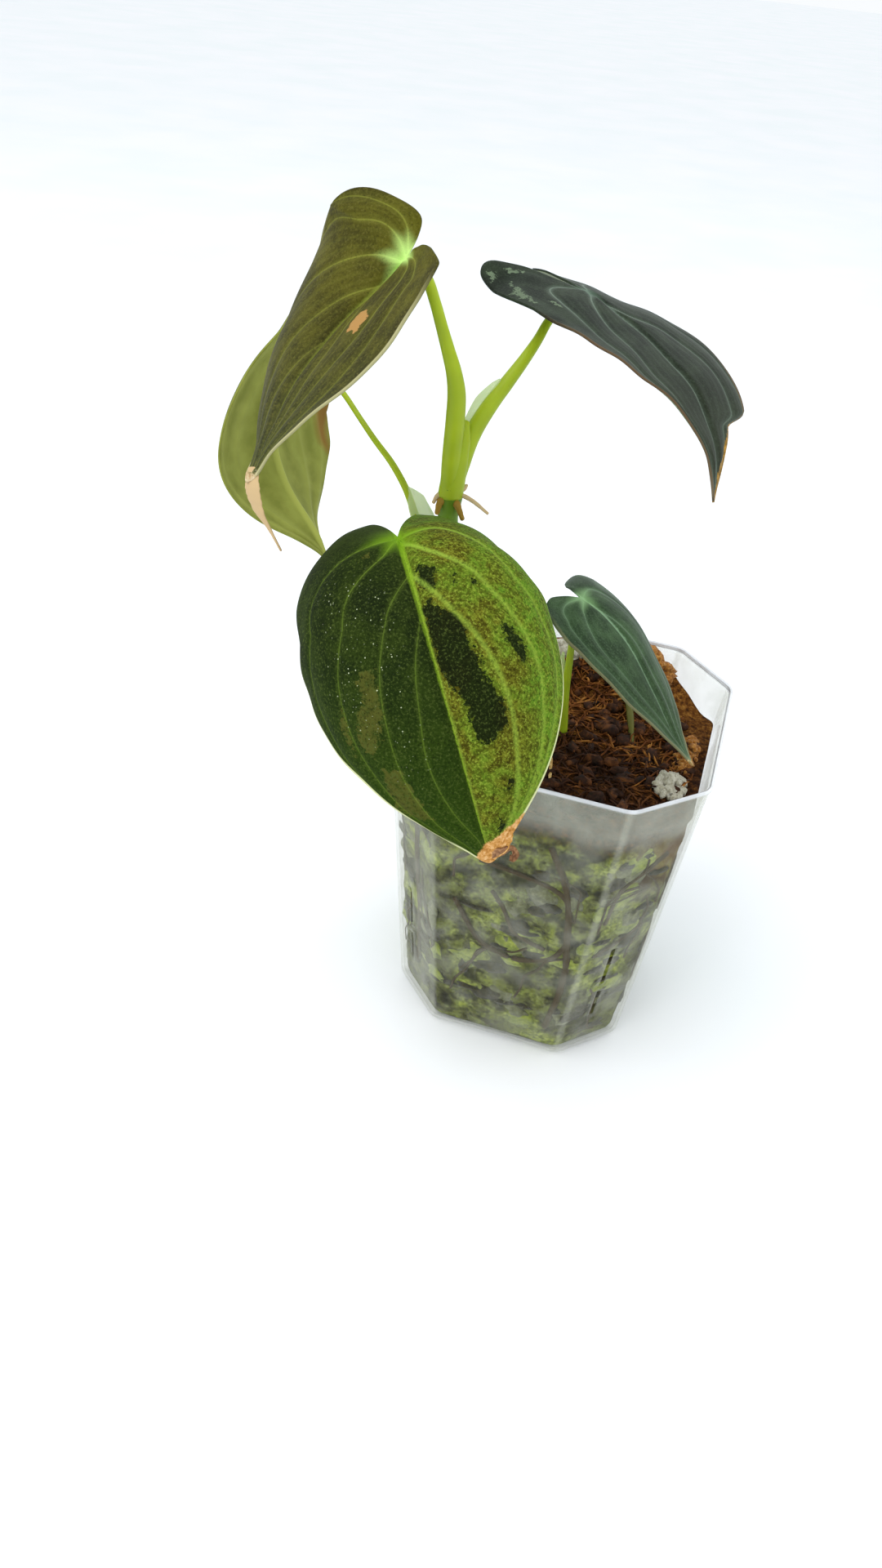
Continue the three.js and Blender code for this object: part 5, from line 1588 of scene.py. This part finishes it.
# %% [markdown]
# Where the mix presses on the plastic it is mottled grey-green, because moss and wet fibre lie
# there, with yellow-green pads, deep shadows between them, and a browned part high on the right.
# Four noises from 24 down to 1.6 mm give it clumps within clumps, as real substrate has.

# %% The mix against the wall
SHADOW_SIZE, PAD_SIZE, CLUMP_SIZE, CRUMB_SIZE = 24, 14, 6, 1.6


def wall_colour(tree, place, crumbs):
    clumps = add(tree, "TexNoise", place, Scale=1 / (CLUMP_SIZE * MM), Detail=4, Roughness=0.65)
    wall = add(tree, "ValToRGB", clumps, stops=[
        (0.34, "#1a1a0a"), (0.43, "#35371a"), (0.5, "#53552f"), (0.57, "#747c42"), (0.66, "#939e44")])
    pads = add(tree, "TexNoise", place, Scale=1 / (PAD_SIZE * MM), Detail=4, Roughness=0.55)
    amount = add(tree, "MapRange", pads, 0.5, 0.6, 0, 0.85)
    green = add(tree, "ValToRGB", crumbs, stops=[(0.35, "#5d6a24"), (0.5, "#8d993e"), (0.65, "#aab658")])
    wall = add(tree, "MixRGB", amount, wall, green)
    amount = add(tree, "MapRange", crumbs, 0.35, 0.6, 0.4, 0.0)
    wall = add(tree, "MixRGB", amount, wall, "#2a2716")
    shadows = add(tree, "TexNoise", place, Scale=1 / (SHADOW_SIZE * MM), Detail=3, Roughness=0.55)
    amount = add(tree, "MapRange", shadows, 0.48, 0.6, 0, 0.6)
    wall = add(tree, "MixRGB", amount, wall, "#33301a")
    to_the_right = add(tree, "SeparateXYZ", place, out="X")
    height = add(tree, "SeparateXYZ", place, out="Z")
    right = add(tree, "MapRange", to_the_right, 0.026, 0.04, 0, 0.65)
    high = add(tree, "MapRange", height, 0.07, 0.088)
    browned = add(tree, "Math", right, high, **TIMES)
    return add(tree, "MixRGB", browned, wall, "#6d4a2a")


print("noise sizes in the mix, in mm:", SHADOW_SIZE, PAD_SIZE, CLUMP_SIZE, CRUMB_SIZE)

# %% [markdown]
# The top has dried: red-brown bark, turning to tan coir towards the back. Its dark front is partly
# the bark and partly painted shade under the front wall.

# %% Substrate material
WALL_UP_TO, TOP_FROM = 0.094, 0.101


def substrate_mix():
    # Damp bark, moss and fibre: no shine at all, and rough enough to break every highlight
    material, tree, shader = new_material("moss_bark_and_fibre", Roughness=0.95, Specular_IOR_Level=0.1)
    place = add(tree, "TexCoord", out="Object")
    crumbs = add(tree, "TexNoise", place, Scale=1 / (CRUMB_SIZE * MM), Detail=4, Roughness=0.7)
    top = add(tree, "ValToRGB", crumbs, stops=[
        (0.3, "#140904"), (0.45, "#2e180b"), (0.58, "#4f2f14"), (0.72, "#7d5220")])
    # Painted shade: the top stays dark at the front and turns tan only towards the back
    backwards = add(tree, "SeparateXYZ", place, out="Y")
    behind = add(tree, "MapRange", backwards, 0.0, 0.045, 0, 0.7)
    tan = add(tree, "ValToRGB", crumbs, stops=[(0.35, "#3f2510"), (0.5, "#84511c"), (0.65, "#b5813c")])
    top = add(tree, "MixRGB", behind, top, tan)
    height = add(tree, "SeparateXYZ", place, out="Z")
    upper = add(tree, "MapRange", height, WALL_UP_TO, TOP_FROM)
    colour = add(tree, "MixRGB", upper, wall_colour(tree, place, crumbs), top)
    bump = add(tree, "Bump", Height=crumbs, Strength=0.8, Distance=1.0 * MM)
    fill(tree, shader, {"Base Color": colour, "Normal": bump})
    return material


substrate = substrate_mix()
print("substrate material:", substrate.name)

# %% [markdown]
# The body of the mix is one lofted plug just inside the wall, on the pot's own columns. Its side
# bulges and sinks by half a millimetre or so, and its top follows the soil's height with a little
# random roughness on it. The seam's two columns are set to the same places before they are merged.

# %% Build the plug
GAP = 0.35
FOOT_SHARES = (0, 0.4, 0.8, 1)
SIDE_ROWS, TOP_ROWS = 60, 46
TOP_ROUGHNESS = 0.5
BULGE, BULGE_SIZE = 0.6, 3.1


def build_plug():
    profile = [(FLOOR + GAP, 2.7, share) for share in FOOT_SHARES] + [(3.6, 2.1, 1)]
    profile += [(z, POT_WALL + GAP + 0.6, 1) for z in np.linspace(5, SOIL_LEVEL - 2, SIDE_ROWS)]
    shares = np.linspace(1, 0, TOP_ROWS)
    shape = bmesh.new()
    count = len(profile) + len(shares)
    verts, around, along = grid_places(shape, LOOP_COUNT, count - 1)
    column = np.rint(around * LOOP_COUNT).astype(int) % LOOP_COUNT
    row = np.rint(along * (count - 1)).astype(int)
    points = np.zeros((len(verts), 3))
    edge = pot_loop(SOIL_LEVEL, POT_WALL + GAP + 0.4)
    for k, (z, inset, share) in enumerate(profile):
        here = row == k
        points[here, :2] = pot_loop(z, inset)[column[here]] * share
        points[here, 2] = z
    for k, share in enumerate(shares):
        here = row == len(profile) + k
        points[here, :2] = edge[column[here]] * share
    top = row >= len(profile)
    points[top, 2] = soil_height(points[top, 0], points[top, 1])
    rough = np.random.default_rng(3).uniform(-1, 1, len(points))
    inner = (row[top] > len(profile)) * (row[top] < count - 1)
    points[top, 2] += TOP_ROUGHNESS * rough[top] * inner
    side = (row >= len(FOOT_SHARES)) & ~top
    push = BULGE * unevenness(points[:, 2] + 0.8 * points[:, 0], points[:, 1] * 1.7, BULGE_SIZE) - 0.5
    away = np.linalg.norm(points[:, :2], axis=1)
    points[side, :2] *= (1 + push[side] / away[side])[:, None]
    place_verts(verts, points * MM)
    seam = {}
    for vert, r, c in zip(verts, row.tolist(), column.tolist()):
        vert.co = seam.setdefault((r, c), vert.co.copy())
    bmesh.ops.remove_doubles(shape, verts=shape.verts[:], dist=MERGE)
    make_piece("substrate_body", shape, [substrate], ["substrate"])


build_plug()

# %% [markdown]
# Much of what the pot shows lies right behind its wall: moss, bark bits and roots. Such things are
# placed by side, distance along the side and height. Sides count quarter turns from the front, and
# half steps are the cut corners. Whatever still pokes through a corner is drawn in again.

# %% Places on the wall


def on_wall(side, along, z, inset):
    """A point inside the wall and how far that side is turned."""
    cut_corner = side % 1 > 0.25
    away = (2 * wall_reach(z) - corner_cut(z)) / math.sqrt(2) if cut_corner else wall_reach(z)
    turn = int(side) * math.pi / 2 + (math.pi / 4 if cut_corner else 0)
    return Matrix.Rotation(turn, 3, "Z") @ Vector((along, -(away - POT_WALL - inset), z)), turn


def keep_inside(shape, clear=0.35):
    """Draws in any vertex that lies beyond the inside of the wall."""
    diagonal = math.sqrt(2)
    for vert in shape.verts:
        x, y, z = vert.co / MM
        flat = wall_reach(z) - POT_WALL - clear
        x, y = min(max(x, -flat), flat), min(max(y, -flat), flat)
        corner = 2 * wall_reach(z) - corner_cut(z) - (POT_WALL + clear + 0.2) * diagonal
        beyond = abs(x) + abs(y) - corner
        if beyond > 0:
            x, y = x - math.copysign(beyond / 2, x), y - math.copysign(beyond / 2, y)
        vert.co = (x * MM, y * MM, z * MM)


print("inside of the wall at half height, in mm:", round(wall_reach(POT_HEIGHT / 2) - POT_WALL, 2))

# %% [markdown]
# Moss is a mat of tiny leafy tufts. At this size each pad or tuft is a small lumpy ball: an
# icosphere pushed in and out by three sine waves, and squashed. Colour and bump do the rest, in
# tufts of 1 to 3 mm.

# %% Lumps and moss


def lumpy_ball(shape, middle, radii, turn, lumps, draw):
    made = bmesh.ops.create_icosphere(shape, subdivisions=2, radius=1.0)
    phase = [draw.uniform(0, 6.3) for _ in range(3)]
    spin = Matrix.Rotation(turn, 3, "Z")
    for vert in made["verts"]:
        x, y, z = vert.co
        bump = math.sin(4 * x + phase[0]) * math.sin(4.5 * y + phase[1]) * math.sin(4 * z + phase[2])
        local = Vector((x * radii[0], y * radii[1], z * radii[2])) * (1 + lumps * bump)
        vert.co = (Vector(middle) + spin @ local) * MM


def moss_material(name, deep, mid, pale, tuft):
    # Moss: thousands of fine tips that scatter light, so it is dull with a soft bloom
    material, tree, shader = new_material(
        name, Roughness=0.95, Sheen_Weight=0.15, Specular_IOR_Level=0.1)
    place = add(tree, "TexCoord", out="Object")
    tufts = add(tree, "TexNoise", place, Scale=1 / (tuft * MM), Detail=5, Roughness=0.75)
    colour = add(tree, "ValToRGB", tufts, stops=[(0.32, deep), (0.5, mid), (0.68, pale)])
    bump = add(tree, "Bump", Height=tufts, Strength=1.0, Distance=0.8 * MM)
    fill(tree, shader, {"Base Color": colour, "Normal": bump})
    return material


# Live moss: yellow green and plump
green_moss = moss_material("live_sphagnum", "#545f1c", "#7f8c30", "#a6b04e", 2.6)
# Soaked moss: grey green
grey_moss = moss_material("wet_sphagnum", "#45482c", "#676a48", "#888b68", 2.6)
# Soaked bark and leaf bits: nearly black
dark_moss = moss_material("wet_bark_and_leaf_bits", "#151204", "#2b2810", "#453c1a", 1.8)
print("wall materials:", green_moss.name, grey_moss.name, dark_moss.name)

# %% [markdown]
# The pads press against the wall, live ones plump and yellow-green, wet ones grey, with dark bark
# bits between. Each is pushed no further out than the wall allows, and goes round the sides in turn.

# %% Moss pads on the wall
PAD_FLAT_REACH, PAD_CORNER_REACH = 21, 11
PAD_LUMPS = 0.6


def build_wall_pads(name, material, seed, count, inset, wide, high, thick):
    draw = random.Random(seed)
    shape = bmesh.new()
    for k in range(count):
        side = (k % 8) * 0.5
        reach = PAD_CORNER_REACH if side % 1 else PAD_FLAT_REACH
        z = draw.uniform(9, 98)
        along = draw.uniform(-reach, reach)
        middle, turn = on_wall(side, along, z, inset)
        radii = (draw.uniform(*wide), thick, draw.uniform(*high))
        lumpy_ball(shape, middle, radii, turn, PAD_LUMPS, draw)
    keep_inside(shape)
    make_piece(name, shape, [material])


build_wall_pads("wall_moss", green_moss, 7, 56, GAP + 1.5, (3.5, 7.5), (2.6, 5.6), 0.9)
build_wall_pads("wall_wet_moss", grey_moss, 11, 60, GAP + 1.4, (2.5, 6), (2, 5), 0.8)
build_wall_pads("wall_bark_bits", dark_moss, 19, 150, GAP + 1.0, (1.5, 6), (0.8, 3.2), 0.75)

# %% [markdown]
# Roots grope their way down along the wall. The thickest follow set paths, each with its side, its
# radius, and places along the side and up. Thin ones wander: each step turns a little at random and
# goes down, never up.

# %% Roots against the wall
# Wet root: dark, corky and dull
root_skin = stalk_skin("root_skin", "#2c2313", "#3f331c", "#5c4c2c", 0.8)
WALL_ROOTS = [
    (0, 1.2, [[9, 94], [14.5, 82], [17.5, 70], [18.8, 56], [20, 44], [19.5, 30], [17, 12]]),
    (0, 0.8, [[-12, 82], [2, 80], [14.7, 76], [19, 66]]),
    (0, 0.9, [[-19, 62], [-8, 45], [4, 42], [15, 47], [19, 55]]),
    (0, 0.7, [[-7, 70], [-3, 64], [2, 54], [12, 50]]),
    (0.5, 0.8, [[8, 92], [1, 86], [-6, 80], [-8, 66]]),
    (0.5, 0.7, [[8, 60], [0, 54], [-8, 50]]),
    (1, 1.0, [[-18, 88], [-6, 74], [4, 66], [12, 50], [14, 28]]),
    (2, 1.1, [[14, 90], [8, 72], [-2, 56], [-9, 40], [-12, 18]]),
    (3, 1.0, [[12, 84], [2, 70], [-8, 62], [-14, 44], [-10, 20]]),
    (3.5, 0.9, [[1, 90], [0, 66], [1, 44], [-1, 18]]),
]
THIN_ROOTS, ROOT_STEP = 40, 6


def wandering_root(draw, side):
    reach = 10 if side % 1 else 20
    along, z = draw.uniform(-reach, reach), draw.uniform(30, 96)
    heading = draw.uniform(-1.2, 1.2)
    radius = draw.uniform(0.25, 0.5)
    stations = []
    for _ in range(6):
        stations.append([*on_wall(side, along, z, GAP + radius)[0], radius])
        heading += draw.uniform(-0.7, 0.7)
        along = min(max(along + ROOT_STEP * math.sin(heading), -reach), reach)
        z = max(z - ROOT_STEP * abs(math.cos(heading)), 7)
    return stations


def build_wall_roots():
    draw = random.Random(41)
    shape = bmesh.new()
    for side, radius, path in WALL_ROOTS:
        stations = [[*on_wall(side, along, z, GAP + radius)[0], radius] for along, z in path]
        tube(shape, stations, sides=8, steps=6 * len(path), lumps=0.08, seed=int(side * 10))
    for k in range(THIN_ROOTS):
        tube(shape, wandering_root(draw, (k % 8) * 0.5), sides=5, steps=16, seed=k)
    keep_inside(shape)
    make_piece("wall_roots", shape, [root_skin])


build_wall_roots()

# %% [markdown]
# The top is a tangle of coarse brown fibre. Fibres are drawn thicker than life, so that the tangle
# still reads from a step away. Each is a short bent tube with its ends in the soil. The drier, paler
# ones lie at the back, and the front ones are darker, as painted shade. They keep clear of the two
# stalks, by trying again until a spot is free.

# %% Fibres on top
STALKS_IN_SOIL = [(-9, -8, 4.5), (0.6, 0, 3.5)]
FIBRE_REACH, FIBRE_LIMIT = 44, 46.0
FIBRE_POINTS = 5
HEAP_FROM, HEAP_RISE_MORE = 25, 1.6


def free_spot(draw, reach, clear=1.0):
    while True:
        angle, away = draw.uniform(0, 2 * math.pi), reach * math.sqrt(draw.random())
        x, y = away * math.cos(angle), away * math.sin(angle)
        if all(math.hypot(x - a, y - b) > size * clear for a, b, size in STALKS_IN_SOIL):
            return x, y


def bent_fibre(draw, x, y):
    heading, radius = draw.uniform(0, 2 * math.pi), draw.uniform(0.15, 0.45)
    rise = draw.uniform(0.3, 2.2) * (HEAP_RISE_MORE if y > HEAP_FROM else 1.0)
    step = draw.uniform(1.6, 3.2)
    stations = []
    for j in range(FIBRE_POINTS):
        lift = rise * math.sin(math.pi * j / (FIBRE_POINTS - 1)) - 0.2
        limit = FIBRE_LIMIT / max(FIBRE_LIMIT, math.hypot(x, y) * 1.04)
        x, y = x * limit, y * limit
        stations.append([x, y, float(soil_height(x, y)) + lift, radius])
        heading += draw.uniform(-0.6, 0.6)
        x, y = x + step * math.cos(heading), y + step * math.sin(heading)
    return stations


def build_fibres(name, material, seed, count, front):
    draw = random.Random(seed)
    shape = bmesh.new()
    for _ in range(count):
        x, y = free_spot(draw, FIBRE_REACH)
        while (y + 0.5 * x < 4) != front:
            x, y = free_spot(draw, FIBRE_REACH)
        tube(shape, bent_fibre(draw, x, y), sides=4, steps=8)
    keep_inside(shape)
    make_piece(name, shape, [material])


# Coir: split coconut fibre, warm brown; the front ones are darker, as painted shade under the front wall
coir = husk_material("coir_fibre", ["#3a1c08", "#7a4618", "#b57c38"], 6.0, spread=0.15)
front_coir_painted_shade = husk_material("front_coir_fibre_painted_shade", ["#1f0e05", "#3f210c", "#754618"], 6.0, spread=0.15)
build_fibres("coir_fibres_back", coir, 23, 480, front=False)
build_fibres("coir_fibres_front", front_coir_painted_shade, 29, 420, front=True)

# %% [markdown]
# Crumbs of bark lie all over it. They are lumpy balls again, with three unlike sizes each, half sunk.

# %% Bark crumbs
CRUMBS, CRUMB_REACH = 300, 43


def build_crumbs():
    draw = random.Random(5)
    shape = bmesh.new()
    for _ in range(CRUMBS):
        x, y = free_spot(draw, CRUMB_REACH, 1.2)
        size = draw.uniform(0.8, 3.6)
        middle = (x, y, float(soil_height(x, y)) + 0.2 * size)
        radii = (size, size * draw.uniform(0.4, 0.8), size * draw.uniform(0.35, 0.7))
        lumpy_ball(shape, middle, radii, draw.uniform(0, 3.14), 0.5, draw)
    keep_inside(shape)
    make_piece("bark_crumbs", shape, [bark])


# Composted bark: matt and almost black, with reddish flecks
bark = husk_material("bark_crumb", ["#150a04", "#371d0d", "#6a3f1c"], 4.0, spread=0.15)
build_crumbs()

# %% [markdown]
# Two pale clumps of dry moss lie on top, one at the back and one at the right, with wads of tan coir
# beside them. Each is a heap of small lumpy balls, highest in its middle.

# %% Clumps of dry moss and coir
TUFTS = 90


def build_clump(name, material, nodes, x, y, across, deep, high, seed):
    draw = random.Random(seed)
    shape = bmesh.new()
    for _ in range(TUFTS):
        angle, away = draw.uniform(0, 2 * math.pi), math.sqrt(draw.random())
        px, py = x + across * 0.8 * away * math.cos(angle), y + deep * 0.8 * away * math.sin(angle)
        size = draw.uniform(0.16, 0.36) * across
        z = float(soil_height(px, py)) + high * (1 - 0.6 * away ** 2) * draw.uniform(0.1, 0.8)
        lumpy_ball(shape, (px, py, z), (size, size * 0.7, size * 0.7), draw.uniform(0, 3.1), 0.5, draw)
    keep_inside(shape)
    make_piece(name, shape, [material], nodes)


# Dry moss: bleached to cream
dry_moss = moss_material("dry_sphagnum", "#a49b80", "#cfcab6", "#ebe9dc", 1.3)
# Coir fluff: short tan fibre in a loose wad
tan_fluff = moss_material("coir_fluff", "#6b3f12", "#b0722a", "#d8a458", 1.1)
build_clump("dry_moss_back", dry_moss, ["moss_back"], -3, 41, 10.0, 4.0, 6.0, 5)
build_clump("dry_moss_right", dry_moss, ["moss_right"], 38.0, -15, 5.4, 6.8, 3.6, 8)
build_clump("coir_wad_right", tan_fluff, [], 40.5, 5, 4.6, 12.0, 4.0, 13)
build_clump("coir_wad_back", tan_fluff, [], 21, 40, 10.0, 5.0, 11.0, 17)

# %% [markdown]
# A small olive sprout arches over the soil from back to front. Its points give how far it stands
# above the soil, so it follows the heap.

# %% Sprout
SPROUT = ((15.4, 32.2, 0.5, 0.8), (17.5, 24, 3.0, 1.2), (20, 15, 2.5, 1.2), (22.7, 6, 0.3, 0.7))
# Young sprout: moist olive skin
sprout_skin = stalk_skin("young_sprout", "#4a4c18", "#62621f", "#7d7a36", 0.5)
sprout = bmesh.new()
sprout_path = [[x, y, float(soil_height(x, y)) + lift, radius] for x, y, lift, radius in SPROUT]
tube(sprout, sprout_path, sides=12, steps=24)
make_piece("young_sprout", sprout, [sprout_skin])

# %% [markdown]
# One dry straw lies near the front wall. Its height is read from the CAD solid that it replaces.

# %% Straw
# Straw: a dead, dry stalk, matt and pale gold, with darker streaks
straw_skin = husk_material("straw", ["#a07a3c", "#cfa868", "#e8d09a"], 1.4)
low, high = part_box("straw")
straw_height = (low.z + high.z) / 2 / MM
straw_path = [
    [0, -14.1, straw_height, 0.6], [1.6, -22, straw_height + 0.1, 0.55], [3.2, -31.2, straw_height, 0.4],
]
straw = bmesh.new()
tube(straw, straw_path, sides=10, steps=24, lumps=0.05)
make_piece("straw_stalk", straw, [straw_skin], ["straw"])

# %% Floor
FLOOR_HALF = 12.0
FLOOR_CLOUDS = 160


def make_stage():
    shape = bmesh.new()
    bmesh.ops.create_grid(shape, x_segments=1, y_segments=1, size=FLOOR_HALF)
    mesh = bpy.data.meshes.new("floor")
    shape.to_mesh(mesh)
    shape.free()
    floor = bpy.data.objects.new("floor", mesh)
    bpy.context.scene.collection.objects.link(floor)
    # Matt white board: an even, shadow-taking white with the faintest clouds
    material, tree, shader = new_material("matt_white_board", Roughness=0.8)
    place = add(tree, "TexCoord", out="Object")
    clouds = add(tree, "TexNoise", place, Scale=1 / (FLOOR_CLOUDS * MM), Detail=2, Roughness=0.55)
    tint = add(tree, "ValToRGB", clouds, stops=[(0.3, "#f4f9fb"), (0.7, "#fbfcff")])
    fill(tree, shader, {"Base Color": tint})
    mesh.materials.append(material)
    print("floor is", 2 * FLOOR_HALF, "m wide")


make_stage()

# %% [markdown]
# The light is that of a white room: an even glow from all sides, a large key light from the front
# left for soft shadows, and a weak fill light from behind. The view transform stays plain, so that
# the colours come out as they were chosen.

# %% Light
PLANT_MIDDLE = Vector((0, 0, 0.12))
LAMP_SIZE = 0.9


def area_light(name, place, power):
    data = bpy.data.lights.new(name, "AREA")
    data.size = LAMP_SIZE
    data.energy = power
    lamp = bpy.data.objects.new(name, data)
    lamp.location = place
    lamp.rotation_euler = (PLANT_MIDDLE - Vector(place)).to_track_quat("-Z", "Y").to_euler()
    bpy.context.scene.collection.objects.link(lamp)
    print(name, "has", power, "W")


world = bpy.data.worlds.new("soft_white_room")
world.use_nodes = True
fill(world.node_tree, world.node_tree.nodes["Background"], {"Color": "#fafdff", "Strength": 1.0})
bpy.context.scene.world = world
bpy.context.scene.view_settings.view_transform = "Standard"
area_light("key_light", (-0.5, -0.5, 1.1), 7.0)
area_light("fill_light", (0.8, 0.5, 0.9), 2.0)
